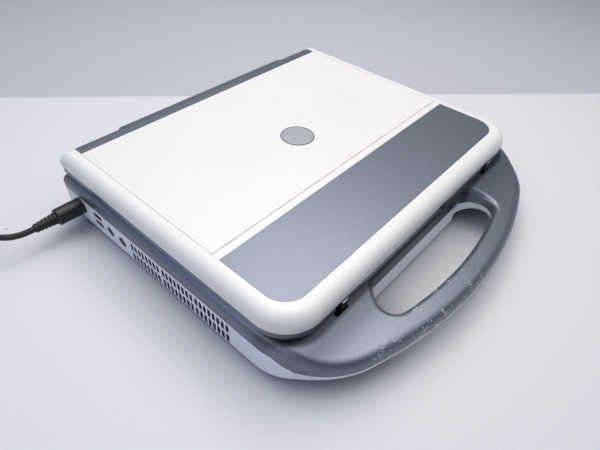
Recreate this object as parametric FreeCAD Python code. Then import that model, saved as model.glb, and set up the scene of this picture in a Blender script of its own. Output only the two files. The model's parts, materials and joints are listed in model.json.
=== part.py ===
import FreeCAD, Part
import math
import os

# Laptop computer with a carrying handle, in millimetres.
# The origin is the bottom centre of the closed computer: +X is the user's right, +Y the hinge, +Z up.

V = FreeCAD.Vector

# ---------------------------------------------------------------- overall sizes
base_width = 354.0
base_depth = 347.0            # from the handle's front to the back of the hinge barrel
foot_height = 2.5
lower_case_height = 29.0
upper_case_height = 13.0
lid_gap = 2.0                 # between the deck and the lid
bezel_height = 6.2
rim_height = 14.8             # white rim of the lid
base_setback = 1.5            # the base ends this far in front of the hinge barrel
wall = 2.5                    # base shells
clear = 0.3                   # between pieces that move past each other
seam = 0.25                   # visible seam round an inlaid panel
snug = 0.1                    # round a piece that is pressed or glued in
bite = 0.01                   # joined solids run this far into each other
past = 1.0                    # cuts run this far past a face
reach = 400.0                 # longer than any piece, for cutting right through

half = base_width / 2
front_y = -base_depth / 2
back_y = base_depth / 2
base_back_y = back_y - base_setback
part_z = foot_height + lower_case_height
deck_z = part_z + upper_case_height
lid_z = deck_z + lid_gap
rim_z = lid_z + bezel_height
top_z = rim_z + rim_height
floor_z = foot_height + wall
deck_under_z = deck_z - wall

# ---------------------------------------------------------------- base outline and handle
front_arc_r = 380.0
front_corner_r = 72.0
back_corner_r = 4.0           # softens the mitred rear corners
deck_roll_r = 8.0
hole_roll_r = 6.0
belly_roll_r = 5.0
hole_belly_r = 4.0

handle_length = 61.5          # from the front to the finger hole's rear wall
grip_width = 21.0
hole_half = 88.0
hole_rear_r = 18.0
hole_side = 1.2               # short straight side of the finger hole
skirt_depth = 10.0            # the hole's rear wall below the belly's slope
skirt_height = 12.0
skirt_r = 1.5
grip_drop = 10.5              # grip's top below the deck
grip_lift = 15.0              # grip's underside above the belly
deck_slope = (79.0, 31.0)     # start and end of each slope, measured back from the front
belly_slope = (95.0, 35.0)
seam_slope = (79.0, 61.0)
seam_drop = 5.5
seam_step = 1.8

arc_y = front_y + front_arc_r
corner_x = half - front_corner_r
corner_y = arc_y - math.sqrt((front_arc_r - front_corner_r) ** 2 - corner_x ** 2)
hole_rear_y = front_y + handle_length
hole_front_r = front_arc_r - grip_width
hole_corner_y = hole_rear_y - hole_rear_r - hole_side
hole_corner_r = ((hole_front_r ** 2 - hole_half ** 2 - (arc_y - hole_corner_y) ** 2)
                 / (2 * (hole_front_r - hole_half)))
grip_top_z = deck_z - grip_drop
grip_under_z = foot_height + grip_lift

# ---------------------------------------------------------------- lid
lid_width = 349.0
lid_setback = 61.0            # lid's front edge behind the handle's front
lid_back_step = 3.0           # the lid ends this far in front of the hinge barrel
lid_front_r = 32.0
lid_back_r = 4.0
rim_top_r = 10.4
rim_under_r = 1.5
lid_wall = 2.0
inlay = 1.5
bezel_inset = 0.6
bezel_wall = 2.0
bezel_roll_r = 1.2
barrel_half = 110.0
inlay_half = 160.0
strip_depth = 21.3            # rear strip, in front of the hinge barrel
centre_panel_depth = 176.0
white_bar = 7.6               # between the centre panel and the grey panel
grey_panel_depth = 65.5
grey_corner_r = 20.0
badge_r = 16.5
badge_back = 116.2            # badge's centre in front of the rear strip
badge_sink = 0.8
badge_stand = 0.2
lid_post_r = 4.0
lid_post_side = 1.0           # posts inside the bezel's wall
lid_post_back = 23.0          # rear posts before the lid's rear edge
lid_screw_depth = 6.0         # screws' length in the lid's posts
lid_head = 0.9
bumper_r = 3.5
bumper_in = 16.0              # bumpers inside the lid's sides, and either side of the screen's centre
bumper_off = 60.0
bumper_front = 7.5            # front bumpers behind the lid's front edge
bumper_lift = 0.05            # closed bumpers clear the deck

lid_half = lid_width / 2
lid_front_y = front_y + lid_setback
lid_back_y = back_y - lid_back_step
barrel_r = (top_z - lid_z) / 2
hinge_y = back_y - barrel_r
hinge_z = lid_z + barrel_r
shell = lid_wall + inlay
strip_y = back_y - strip_depth
centre_y = strip_y - centre_panel_depth
grey_back_y = centre_y - white_bar
grey_front_y = grey_back_y - grey_panel_depth
lid_inner_z = top_z - shell
badge_y = strip_y - badge_back

# ---------------------------------------------------------------- hinge
open_angle = 130.0
knuckle_r = 5.5
knuckle_width = 6.0
pin_r = 2.2
pin_clear = 0.05
arm_hub_r = 3.8
arm_hub_width = 6.0
arm_thick = 2.5
arm_length = 30.0
arm_rise_back = 2.0           # the arm's web rises this far in front of its hub
arm_plate_back = 3.0
arm_plate_width = 19.0
arm_gap = 0.5                 # between the arm and the screen
bracket_foot = (15.0, 9.0)    # foot past the knuckle, inwards and outwards
plate_thick = 2.0
stem_width = 5.0
slot_margin = 0.8
swing_gap = 0.2               # extra room round the swinging stems
swing_reach = 30.0            # the swept room's length, past the lid
knuckle_x = barrel_half + slot_margin + knuckle_width / 2
slot_in = barrel_half
slot_out = barrel_half + knuckle_width + 2 * slot_margin

# ---------------------------------------------------------------- screen
screen_side = 22.5            # from the lid's edges to the visible screen
screen_front = 18.0
screen_back = 29.5            # from the screen to the hinge
screen_margin = 7.0
screen_thick = 6.5
screen_corner_r = 2.0
window_margin = 1.0
window_corner_r = 1.5

screen_width = lid_width - 2 * screen_side
screen_front_y = lid_front_y + screen_front
screen_back_y = hinge_y - screen_back
screen_height = screen_back_y - screen_front_y
screen_y = (screen_front_y + screen_back_y) / 2

# ---------------------------------------------------------------- latch
hook_x = 117.5
latch_shift = 2.5             # the latch stands off centre towards +X
hook_width = 8.0
hook_thick = 2.4
hook_nose = 4.0
hook_nose_height = 3.0
hook_chamfer = 1.8
latch_travel = 4.5
latch_bar_height = 3.6
latch_bar_depth = 4.0
latch_room = 6.0              # the latch's space behind the lid's front edge
knob_x = 30.0
knob_width = 8.0
knob_out = 2.4
knob_height = 2.9
knob_corner_r = 0.7
stalk_height = 2.4
stalk_lift = 0.2              # stalk above the knob's underside
stalk_in = 1.0                # stalk inside the knob's sides
strike_thick = 1.4
strike_side = 0.8             # slot beside the hook
strike_end = 1.0              # slot past the hook's nose
strike_land = (8.0, 4.0)      # plate past the slot's two ends
strike_front = 2.0            # plate before and behind the slot
strike_back = 3.0
boss_drop = 7.1               # underside of the bosses over the plates, below the deck
hook_out = 0.9                # hooks stand in front of the bezel
slot_room = 1.2
knob_lift = 0.6               # knob's stalk above the bar's underside
bar_gap = 1.0                 # bar behind the bezel's front wall

hook_places = (latch_shift - hook_x, latch_shift + hook_x)
hook_y = lid_front_y + bezel_inset - hook_out
latch_z = lid_z + bezel_wall + clear
boss_z = deck_z - boss_drop
hook_low_z = boss_z - strike_thick - clear - hook_nose_height
knob_z = latch_z + knob_lift
latch_bar_y = lid_front_y + bezel_inset + bezel_wall + bar_gap
slot_front_y = hook_y - slot_room
slot_back_y = hook_y + hook_thick + slot_room

# ---------------------------------------------------------------- keyboard and pad
key_pitch = 19.05
key_gap = 1.2
key_height = 4.0
key_stand = 0.5               # key tops above the deck
key_travel = 2.2
key_chamfer = 0.8
key_stem = 5.0
key_stem_drop = 1.0           # stems below the plate's top side
key_stem_gap = 0.2
plate_sheet = 1.2
function_depth = 13.0
keys_across = 15
keyboard_back = 42.25         # in front of the hinge
well_margin = 3.0
well_ledge = 4.0
pad_width = 76.0
pad_back = 22.0               # behind the pad to the keyboard
pad_front = 118.0             # from the handle's front to the pad
pad_thick = 1.6
pad_corner_r = 2.0
pad_sink = 0.3
button_depth = 12.0
button_travel = 0.7
button_gap = 1.0
pad_button_gap = 3.0
button_body = 2.4
button_corner_r = 1.5
button_sink = 0.1
stem_r = 1.8
power_r = 7.0
power_stand = 0.3
power_back = 27.5             # in front of the hinge
power_y = hinge_y - power_back
light_front = 84.0            # status lights, from the handle's front
light_size = (6.0, 2.0)
light_pitch = 14.0
light_count = 4
light_corner_r = 0.9
speaker_slots_across = 12
speaker_slot_pitch = 4.4
speaker_slot_size = (1.5, 9.0)
speaker_slot_r = 0.7
speaker_in = 34.0             # innermost slot, from the middle
speaker_margin = 4.0          # speaker past its outermost slots
speaker_depth = 12.0
speaker_height = 8.0
speaker_wall = 3.0
speaker_cone = 2.5            # depth of the open front

keyboard_width = keys_across * key_pitch
keyboard_depth = 5 * key_pitch + function_depth
key_top_z = deck_z + key_stand
key_under_z = key_top_z - key_height
key_plate_z = key_under_z - key_travel - clear - plate_sheet
keyboard_back_y = hinge_y - keyboard_back
keyboard_front_y = keyboard_back_y - keyboard_depth
pad_back_y = keyboard_front_y - pad_back
pad_front_y = front_y + pad_front
pad_depth = pad_back_y - pad_front_y
pad_y = (pad_front_y + pad_back_y) / 2
button_floor_z = deck_z - button_body - button_travel - clear
button_back_y = pad_front_y - pad_button_gap
button_front_y = button_back_y - button_depth
light_y = front_y + light_front

# ---------------------------------------------------------------- left side sockets and vents
jack_back = 29.0              # sockets and vents, in front of the hinge barrel's back
jack_z = 22.5
jack_hole_r = 6.5
usb_back = 56.0
usb_z = (16.0, 24.5)
usb_width = 12.5
usb_height = 5.1
usb_skin = 0.3
round_back = (92.8, 74.6)
round_z = 18.0
round_r = 5.0
round_lip = 0.7
round_pin_r = 2.6
round_depth = 6.0
round_side = 1.5              # block round the barrel
socket_sink = 0.8             # round sockets inside the case's side
socket_step = 2.0             # their blocks inside the wall
socket_length = 16.0
jack_block = (15.0, 8.0)      # the lead's socket: length, and half its width and height
jack_sink = 0.6
usb_sink = 0.4
usb_depth = 13.5
usb_tongue = (1.2, 0.7)       # tongue behind the mouth and inside the shell's sides
usb_tongue_z = (-0.2, 1.7)    # tongue's underside and top, from the opening's middle
usb_block = (4.0, 0.8)        # block behind the shells, and past their sides
vent_pitch = 5.05
vent_width = 3.2
vent_wall = 0.9               # the wall is thinner behind the vents
vent_margin = 1.5
vent_corner_r = 0.6
vents_in_group = 8
vent_group_back = (109.1, 151.5, 192.8)   # rearmost slot of each group
vent_rows = ((7.5, 16.5), (19.5, 28.0))

jack_y = back_y - jack_back
usb_y = back_y - usb_back
round_y = [back_y - d for d in round_back]
vent_group_y = [back_y - d for d in vent_group_back]
vent_group_depth = vent_pitch * (vents_in_group - 1)

# ---------------------------------------------------------------- inside the base
board_z = 10.4
board_thick = 1.6
board_top_z = board_z + board_thick
post_r = 4.0
screw_r = 1.5
screw_head_r = 3.0
screw_head = 2.5
case_screw_depth = 6.0        # screws' length in the upper case's posts
post_back_gap = 1.0           # posts inside the rear wall
post_side_gap = 3.0           # posts inside the side walls
standoff_r = 3.0
standoff_in = (77.0, 27.0, 137.0)   # front, rear and middle one, inside the left side
standoff_edge = 10.0          # the right-hand ones inside the board's edge
standoff_front = 6.0          # the front ones behind the board's front edge
standoff_jack = (12.0, 2.0)   # the rear ones in front of the lead's socket, left and right
standoff_middle = 17.0        # the middle one in front of the board's middle
board_screw_head = (2.6, 1.4)
board_side = 2.5              # board inside the left wall
board_front = 2.0             # board behind the battery's front
board_back = 8.5              # board behind the lead's socket
fan_in = 35.0                 # fan's axis inside the left side
fan_behind = 1.8              # its axis behind the front group's rearmost slot
fan_size = 60.0
fan_height = 16.0
fan_skin = 1.4
fan_mouth_r = 19.0
rotor_r = 25.0
rotor_gap = 1.0
hub_r = 10.0
shaft_r = 1.5
shaft_short = 4.0             # shaft's end below the housing's top
shaft_gap = 0.2               # bore past the shaft's end
shaft_seat = (5.0, 0.8)       # radius and height of the boss round the shaft
blades = 11
blade_thick = 1.2
blade_trim = 0.5              # blades inside the hub's height
blade_lean = 28.0
battery_width = 106.0
battery_in = 9.0              # inside the right side
battery_front = 119.0         # from the handle's front
battery_back = 136.0          # from the hinge barrel's back
battery_height = 20.0
battery_corner_r = 3.0
door_inset = 4.0              # battery cover inside the battery's sides
door_corner_r = 4.0
drive_size = (100.0, 70.0, 9.5)
drive_corner_r = 2.0
drive_in = 11.0
drive_gap = 5.0               # behind the battery
foot_size = (24.0, 10.0)
foot_sink = 1.0
foot_in = 30.0
foot_back = 20.0
foot_front = 108.0            # front feet, from the handle's front
post_front = (109.0, 87.0, 89.0)   # left, middle and right front posts
processor_side = 34.0
processor_height = 3.0
processor_in = 77.0           # inside the left side
spreader = (50.0, 48.0, 3.0)
spreader_over = 8.0           # spreader past the processor
heat_pipe_r = 3.2
heat_pipe_lift = 8.0          # pipe's axis above the board
fin_block = (22.0, 40.0)
fin_count = 14
fin_thick = 0.8
fin_gap = 1.0                 # fins inside the left wall
fin_base = 1.5
fin_cover = 1.2
memory_size = (67.6, 30.0, 3.8)
memory_back = 86.0
memory_in = 17.4              # inside the board's right edge
cell_size = (10.0, 3.2)       # clock battery's radius and height
cell_in = 45.0
cell_behind = 22.0            # its axis behind the memory's rear edge
board_gap = 7.0               # between the board and the battery

fan_x = -half + fan_in
fan_y = vent_group_y[2] + fan_behind
heat_y = vent_group_y[0] - vent_group_depth / 2
battery_x = half - battery_in
battery_left_x = battery_x - battery_width
battery_front_y = front_y + battery_front
battery_back_y = back_y - battery_back
drive_x = half - drive_in
drive_front_y = battery_back_y + drive_gap
board_x = battery_left_x - board_gap
board_front_y = battery_front_y + board_front
memory_x = board_x - memory_in
memory_y = back_y - memory_back

# ---------------------------------------------------------------- lead and power adapter
plug_r = 8.0
plug_length = 25.0
nose_r = 4.9
nose_length = 8.0
plug_round_r = 1.6
plug_groove = (5.0, 3.0, 0.6) # from the plug's back, from its front, and depth
relief_r = 5.6
relief_length = 20.0
relief_ribs = 6
relief_core = 0.8             # cone under the ribs, as a share of their radius
relief_end = 0.8              # wall of the cone and of the ribs over the cord at the thin end
relief_end_rib = 1.4
relief_rib_share = 0.62
cord_r = 2.75
bend_share = 0.45             # of the shorter run beside each bend
coil_mid_r = 30.5
coil_columns = 3
coil_layers = 2
coil_centre = (-306.0, 247.5)
adapter = (50.0, 110.0, 31.0)
adapter_centre = (-375.0, 247.5)
adapter_corner_r = 8.0
adapter_edge_r = 3.0
inlet_size = (20.0, 14.0, 12.0)
inlet_corner_r = 0.5
inlet_gap = 0.2               # between the insert and the adapter
inlet_rim = 1.5               # wall round the well
inlet_depth = 11.5
inlet_pin_r = 1.2
inlet_pin_pitch = 8.6
inlet_pin_length = 8.5

plug_x = -half - clear
plug_back_x = plug_x - plug_length
relief_x = plug_back_x - relief_length
coil_width = 2 * cord_r * coil_columns
coil_outer_r = coil_mid_r + coil_width / 2

# route of the lead from the strain relief to the coil: points chosen by hand
route = [
    (relief_x, jack_y, jack_z),
    (-231.3, jack_y, jack_z),
    (-240.9, 147.1, 22.8),
    (-249.8, 152.8, 22.9),
    (-258.2, 163.4, 21.4),
    (-267.8, 186.0, 14.8),
    (-271.0, 217.0, 6.2),
]


# ================================================================ helpers
def box(x0, x1, y0, y1, z0, z1):
    """A block between two corners."""
    return Part.makeBox(x1 - x0, y1 - y0, z1 - z0, V(x0, y0, z0))


def rod(x, y, z, r, length, axis=V(0, 0, 1)):
    """A cylinder from a point along an axis."""
    return Part.makeCylinder(r, length, V(x, y, z), axis)


def line(a, b):
    return Part.makeLine(V(*a), V(*b))


def arc(a, m, b):
    return Part.Arc(V(*a), V(*m), V(*b)).toShape()


def face(edges):
    return Part.Face(Part.Wire(Part.__sortEdges__(edges)))


def fuse(shapes):
    first = shapes[0]
    return first.fuse(shapes[1:]).removeSplitter() if len(shapes) > 1 else first


def mirror_x(shape):
    return shape.mirror(V(0, 0, 0), V(1, 0, 0))


def rounded(x0, x1, y0, y1, z0, z1, r):
    """A block with rounded upright corners."""
    block = box(x0, x1, y0, y1, z0, z1)
    uprights = [e for e in block.Edges if abs(e.tangentAt(e.FirstParameter).z) > 0.9]
    return block.makeFillet(r, uprights)


def block_at(x, y, width, depth, z0, z1, r=0.0):
    """A block centred on (x, y), with rounded upright corners when r is given."""
    x0 = x - width / 2
    y0 = y - depth / 2
    if r:
        return rounded(x0, x0 + width, y0, y0 + depth, z0, z1, r)
    return box(x0, x0 + width, y0, y0 + depth, z0, z1)


def prism(outline, z0, z1):
    """A flat outline at z = 0, raised from z0 to z1."""
    block = outline.extrude(V(0, 0, z1 - z0))
    block.translate(V(0, 0, z0))
    return block


def point_at(cx, cy, r, angle, z=0.0):
    return (cx + r * math.cos(angle), cy + r * math.sin(angle), z)


def rim_edges(solid, wanted):
    """Edges between an upright wall and a face that isn't upright, where wanted(middle) is true."""
    found = []
    upright = 0.01
    sloping = 0.3
    for edge in solid.Edges:
        middle = edge.valueAt((edge.FirstParameter + edge.LastParameter) / 2)
        lean = []
        for side in solid.ancestorsOfType(edge, Part.Face):
            u, v = side.Surface.parameter(middle)
            lean.append(abs(side.normalAt(u, v).z))
        if len(lean) == 2 and min(lean) < upright < sloping < max(lean) and wanted(middle):
            found.append(edge)
    return found


def soften_back(solid, side, back, radius):
    """Round the two mitred rear corners, whose edges stand as far inside the side as inside the back."""
    found = []
    for edge in solid.Edges:
        middle = edge.valueAt((edge.FirstParameter + edge.LastParameter) / 2)
        from_side = side - abs(middle.x)
        from_back = back - middle.y
        if abs(from_side - from_back) < bite and from_side < rim_top_r and edge.BoundBox.ZLength > snug:
            found.append(edge)
    return solid.makeFillet(radius, found)


# ================================================================ outlines
def base_outline(t):
    """The base seen from above, t inside its walls."""
    side = half - t
    back = base_back_y - t
    big = front_arc_r - t
    small = front_corner_r - t
    turn = math.atan2(corner_y - arc_y, corner_x)
    join = point_at(0, arc_y, big, turn)
    middle = point_at(corner_x, corner_y, small, turn / 2)
    flip = lambda p: (-p[0], p[1], p[2])
    edges = [
        line((side, back, 0), (-side, back, 0)),
        arc(flip(join), (0, arc_y - big, 0), join),
    ]
    for m in (lambda p: p, flip):
        edges.append(arc(m(join), m(middle), m((side, corner_y, 0))))
        edges.append(line(m((side, corner_y, 0)), m((side, back, 0))))
    return face(edges)


def hole_outline(grow):
    """The finger hole seen from above, grown into the material around it."""
    side = hole_half + grow
    rear = hole_rear_y + grow
    big = hole_front_r + grow
    cx = hole_half - hole_corner_r
    turn = math.atan2(hole_corner_y - arc_y, cx)
    join = point_at(0, arc_y, big, turn)
    middle = point_at(cx, hole_corner_y, hole_corner_r + grow, turn / 2)
    rear_r = hole_rear_r + grow
    rear_cx = hole_half - hole_rear_r
    rear_cy = hole_rear_y - hole_rear_r
    corner = point_at(rear_cx, rear_cy, rear_r, math.pi / 4)
    flip = lambda p: (-p[0], p[1], p[2])
    edges = []
    for m in (lambda p: p, flip):
        edges += [
            arc(m(join), m(middle), m((side, hole_corner_y, 0))),
            line(m((side, hole_corner_y, 0)), m((side, rear_cy, 0))),
            arc(m((side, rear_cy, 0)), m(corner), m((rear_cx, rear, 0))),
        ]
    edges.append(line((rear_cx, rear, 0), (-rear_cx, rear, 0)))
    edges.append(arc(flip(join), (0, arc_y - big, 0), join))
    return face(edges)


def s_curve(y0, z0, y1, z1, lift):
    """Two equal arcs between two levels, tangent to both and to each other, lifted by lift."""
    run = y1 - y0
    rise = z1 - z0
    way = math.copysign(1, run)
    up = math.copysign(1, rise)
    radius = (run * run + rise * rise) / (4 * abs(rise))
    turn = math.asin(abs(run) / (2 * radius))
    first = radius - up * lift
    second = radius + up * lift

    def on_first(a):
        return (0, y0 + way * first * math.sin(a), z0 + up * (radius - first * math.cos(a)))

    def on_second(a):
        return (0, y1 - way * second * math.sin(a), z1 - up * (radius - second * math.cos(a)))

    return [arc(on_first(0), on_first(turn / 2), on_first(turn)),
            arc(on_second(turn), on_second(turn / 2), on_second(0))]


def below(start_z, slope, end_z, lift, step=0.0):
    """Everything below a line that runs level, down or up a slope, and level again to the front."""
    y0 = front_y + slope[0]
    y1 = front_y + slope[1]
    z0 = start_z + lift
    z1 = end_z + lift
    edges = [line((0, reach, z0), (0, y0, z0))] + s_curve(y0, start_z, y1, end_z, lift)
    if step:
        edges.append(line((0, y1, z1), (0, y1, z1 - step)))
    z1 -= step
    edges += [
        line((0, y1, z1), (0, -reach, z1)),
        line((0, -reach, z1), (0, -reach, -reach)),
        line((0, -reach, -reach), (0, reach, -reach)),
        line((0, reach, -reach), (0, reach, z0)),
    ]
    block = face(edges).extrude(V(2 * reach, 0, 0))
    block.translate(V(-reach, 0, 0))
    return block


def below_deck(lift):
    return below(deck_z, deck_slope, grip_top_z, lift)


def below_belly(lift):
    return below(foot_height, belly_slope, grip_under_z, lift)


def below_seam():
    return below(part_z, seam_slope, part_z - seam_drop, 0.0, seam_step)


def in_hole(p):
    """Whether a point lies on the wall of the finger hole or inside it."""
    near = math.hypot(p.x, p.y - arc_y) < hole_front_r + wall + 1
    return near and abs(p.x) < hole_half + wall + 1 and p.y < hole_rear_y + wall + 1


def base_body(t):
    """The base as one solid, t inside its outer surface all round."""
    solid = prism(base_outline(t), -reach, reach).common(below_deck(-t)).cut(below_belly(t))
    solid = solid.cut(prism(hole_outline(t), -reach, reach))
    middle_z = (grip_top_z + grip_under_z) / 2
    rolls = [
        (deck_roll_r, lambda p: p.z > middle_z and not in_hole(p)),
        (hole_roll_r, lambda p: p.z > middle_z and in_hole(p)),
        (belly_roll_r, lambda p: p.z < middle_z and not in_hole(p)),
        (hole_belly_r, lambda p: p.z < middle_z and in_hole(p)),
    ]
    for radius, wanted in rolls:
        solid = solid.makeFillet(radius - t, rim_edges(solid, wanted))
    return soften_back(solid, half - t, base_back_y - t, max(back_corner_r - t, 0.5))


def lid_outline(inset, back_inset):
    """The lid seen from above, inside its rim."""
    side = lid_half - inset
    front = lid_front_y + inset
    back = lid_back_y - back_inset
    r = lid_front_r - inset
    middle = point_at(side - r, front + r, r, -math.pi / 4)
    edges = [line((side - r, front, 0), (-side + r, front, 0)), line((side, back, 0), (-side, back, 0))]
    for s in (1, -1):
        edges.append(arc((s * (side - r), front, 0), (s * middle[0], middle[1], 0), (s * side, front + r, 0)))
        edges.append(line((s * side, front + r, 0), (s * side, back, 0)))
    return face(edges)


def lid_body(t):
    """The lid's rim and hinge barrel as one solid, t inside its outer surface."""
    low = rim_z if t == 0 else rim_z - bezel_height
    slab = prism(lid_outline(t, t), low, top_z - t)
    slab = slab.makeFillet(rim_top_r - t, rim_edges(slab, lambda p: p.z > hinge_z))
    slab = soften_back(slab, lid_half - t, lid_back_y - t, max(lid_back_r - t, 0.5))
    if t == 0:
        slab = slab.makeFillet(rim_under_r, rim_edges(slab, lambda p: p.z < hinge_z))
    end = barrel_half - t
    tube = rod(-end, hinge_y, hinge_z, barrel_r - t, 2 * end, V(1, 0, 0))
    start_y = hinge_y - slot_margin if t == 0 else hinge_y - 2 * slot_margin
    return slab.fuse(tube.common(box(-end, end, start_y, reach, 0, reach)))


# ================================================================ piece makers: lid
def hinge_slots():
    """Room in the lid for both knuckles and their stems while the lid swings open."""
    swing = math.radians(open_angle - 90)
    room = stem_width / 2 + clear + swing_gap
    far = swing_reach
    corners = [
        (slot_in, hinge_y - room, hinge_z),
        (slot_in, hinge_y - room, lid_z - far),
        (slot_in, hinge_y + far, lid_z - far),
        (slot_in, hinge_y + far, hinge_z + far * math.tan(swing) + room / math.cos(swing)),
        (slot_in, hinge_y - room * math.sin(swing), hinge_z + room * math.cos(swing)),
    ]
    edges = [line(a, b) for a, b in zip(corners, corners[1:] + corners[:1])]
    width = slot_out - slot_in
    sweep = face(edges).extrude(V(width, 0, 0))
    slot = sweep.fuse(rod(slot_in, hinge_y, hinge_z, knuckle_r + 2 * clear, width, V(1, 0, 0)))
    return slot.fuse(mirror_x(slot))


def panel_region(name, gap):
    """The space of one inlaid panel, gap inside its recess."""
    side = inlay_half - gap
    if name == "rear":
        return box(-side, side, strip_y + gap, reach, 0, reach)
    if name == "centre":
        return box(-side, side, centre_y + gap, strip_y - gap, 0, reach)
    past_y = grey_back_y + 2 * grey_corner_r
    block = rounded(-side, side, grey_front_y + gap, past_y, 0, reach, grey_corner_r - gap)
    return block.common(box(-side, side, grey_front_y + gap, grey_back_y - gap, 0, reach))


def lid_pieces(parts):
    outer = lid_body(0)
    slots = hinge_slots()
    recess = outer.cut(lid_body(inlay + snug))
    skin = outer.cut(lid_body(inlay))
    frame = outer.cut(lid_body(shell))
    names = {"centre": "lid_centre_panel", "grey": "lid_front_panel", "rear": "lid_rear_strip"}
    for region, node in names.items():
        frame = frame.cut(recess.common(panel_region(region, 0)))
        parts[node] = skin.common(panel_region(region, seam)).cut(slots)
    for x, y in lid_post_places():
        frame = frame.fuse(rod(x, y, rim_z, lid_post_r, lid_inner_z - rim_z + bite))
        frame = frame.cut(rod(x, y, rim_z - past, screw_r + pin_clear, lid_screw_depth + 2 * past))
    badge_hole = rod(0, badge_y, top_z - badge_sink - snug, badge_r + seam, reach)
    parts["lid_centre_panel"] = parts["lid_centre_panel"].cut(badge_hole)
    parts["badge_disc"] = rod(0, badge_y, top_z - badge_sink, badge_r, badge_sink + badge_stand)
    parts["lid_frame"] = frame.cut(slots).removeSplitter()


def lid_post_places():
    """The four posts inside the lid, the front ones just behind the round corners."""
    x = lid_half - bezel_inset - bezel_wall - lid_post_r - lid_post_side
    front = lid_front_y + lid_front_r + lid_post_r
    back = lid_back_y - lid_post_back
    return [(s * x, y) for s in (-1, 1) for y in (front, back)]


def bezel_piece():
    """The screen's surround: a tray that closes the lid from below."""
    back_inset = 2 * bezel_inset
    block = prism(lid_outline(bezel_inset, back_inset), lid_z, rim_z)
    block = soften_back(block, lid_half - bezel_inset, lid_back_y - back_inset, lid_back_r - bezel_inset)
    block = block.makeFillet(bezel_roll_r, rim_edges(block, lambda p: p.z < lid_z + bite))
    inner = prism(lid_outline(bezel_inset + bezel_wall, back_inset + bezel_wall), lid_z + bezel_wall, reach)
    block = block.cut(inner)
    block = block.cut(box(-slot_out, slot_out, hinge_y - slot_margin - clear, reach, 0, reach))
    side = screen_width / 2 + window_margin
    tall = screen_height / 2 + window_margin
    window = rounded(-side, side, screen_y - tall, screen_y + tall, 0, reach, window_corner_r)
    block = block.cut(window).cut(hinge_slots())
    slide = latch_travel + 2 * clear
    for x in hook_places:
        left = x - hook_width / 2 - slide
        right = x + hook_width / 2 + clear
        block = block.cut(box(left, right, lid_front_y - past, hook_y + hook_thick + clear, 0, reach))
        low = lid_z + bezel_wall + clear / 2
        block = block.cut(box(left, right, lid_front_y - past, lid_front_y + latch_room, low, reach))
    left = knob_x - knob_width / 2 - slide
    right = knob_x + knob_width / 2 + clear
    low = knob_z - stalk_lift - clear
    block = block.cut(box(left, right, lid_front_y - past, lid_front_y + latch_room, low, reach))
    for x, y in lid_post_places():
        block = block.cut(rod(x, y, 0, screw_r + pin_clear, reach))
        block = block.cut(rod(x, y, 0, screw_head_r + snug, lid_z + lid_head + snug))
    return block


def screen_piece():
    side = screen_width / 2 + screen_margin
    tall = screen_height / 2 + screen_margin
    low = lid_z + bezel_wall
    block = rounded(-side, side, screen_y - tall, screen_y + tall, low, low + screen_thick, screen_corner_r)
    room = lid_post_r + lid_post_side
    for x, y in lid_post_places():
        block = block.cut(rod(x, y, 0, room, reach))
    return block


def hinge_arm():
    """Right arm: a hub with the hinge pin, and a plate screwed up into the lid's frame."""
    x0 = slot_out + clear
    hub = rod(x0, hinge_y, hinge_z, arm_hub_r, arm_hub_width, V(1, 0, 0))
    pin_x = knuckle_x - knuckle_width / 2
    pin = rod(pin_x, hinge_y, hinge_z, pin_r, x0 + arm_hub_width / 2 - pin_x, V(1, 0, 0))
    front = hinge_y - arm_length
    web_low = lid_z + bezel_wall + screen_thick + arm_gap
    web = box(x0, x0 + arm_thick, front, hinge_y, web_low, hinge_z + arm_hub_r)
    hub_front = hinge_y - arm_hub_r
    rise = box(x0, x0 + arm_thick, front, hub_front - arm_rise_back, web_low, lid_inner_z)
    plate = box(x0, x0 + arm_plate_width, front, hub_front - arm_plate_back,
                lid_inner_z - plate_thick, lid_inner_z)
    return fuse([hub, pin, web, rise, plate])


def hinge_bracket():
    """Right bracket: a foot under the deck, a stem through it, and a knuckle for the pin."""
    x0 = knuckle_x - knuckle_width / 2
    x1 = x0 + knuckle_width
    low = deck_under_z - plate_thick
    foot = box(x0 - bracket_foot[0], x1 + bracket_foot[1], hinge_y - arm_length, hinge_y, low, deck_under_z)
    stem = box(x0, x1, hinge_y - stem_width / 2, hinge_y + stem_width / 2, low, hinge_z)
    knuckle = rod(x0, hinge_y, hinge_z, knuckle_r, knuckle_width, V(1, 0, 0))
    bore = rod(x0 - past, hinge_y, hinge_z, pin_r + pin_clear, knuckle_width + 2 * past, V(1, 0, 0))
    return fuse([foot, stem, knuckle]).cut(bore)


# ================================================================ piece makers: latch
def latch_hook(x):
    """A hook that hangs from the bar, with its nose towards -X."""
    left = x - hook_width / 2
    right = x + hook_width / 2
    body = box(left, right, hook_y, hook_y + hook_thick, hook_low_z, latch_z + latch_bar_height)
    tip_x = left - hook_nose
    nose = box(tip_x, right, hook_y, hook_y + hook_thick, hook_low_z, hook_low_z + hook_nose_height)
    tip = [e for e in nose.Edges if e.CenterOfMass.x < tip_x + bite and e.CenterOfMass.z < hook_low_z + bite]
    nose = nose.makeChamfer(hook_chamfer, tip)
    arm = box(left, right, hook_y, latch_bar_y, latch_z, latch_z + latch_bar_height)
    return fuse([body, nose, arm])


def latch_bar():
    end = hook_x + hook_width
    return box(latch_shift - end, latch_shift + end, latch_bar_y, latch_bar_y + latch_bar_depth,
               latch_z, latch_z + latch_bar_height)


def latch_knob():
    left = knob_x - knob_width / 2
    right = left + knob_width
    low = knob_z - stalk_lift
    stalk = box(left + stalk_in, right - stalk_in, hook_y, latch_bar_y, knob_z, knob_z + stalk_height)
    knob = rounded(left, right, lid_front_y + bezel_inset - knob_out, hook_y, low, low + knob_height,
                   knob_corner_r)
    return fuse([stalk, knob])


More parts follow.
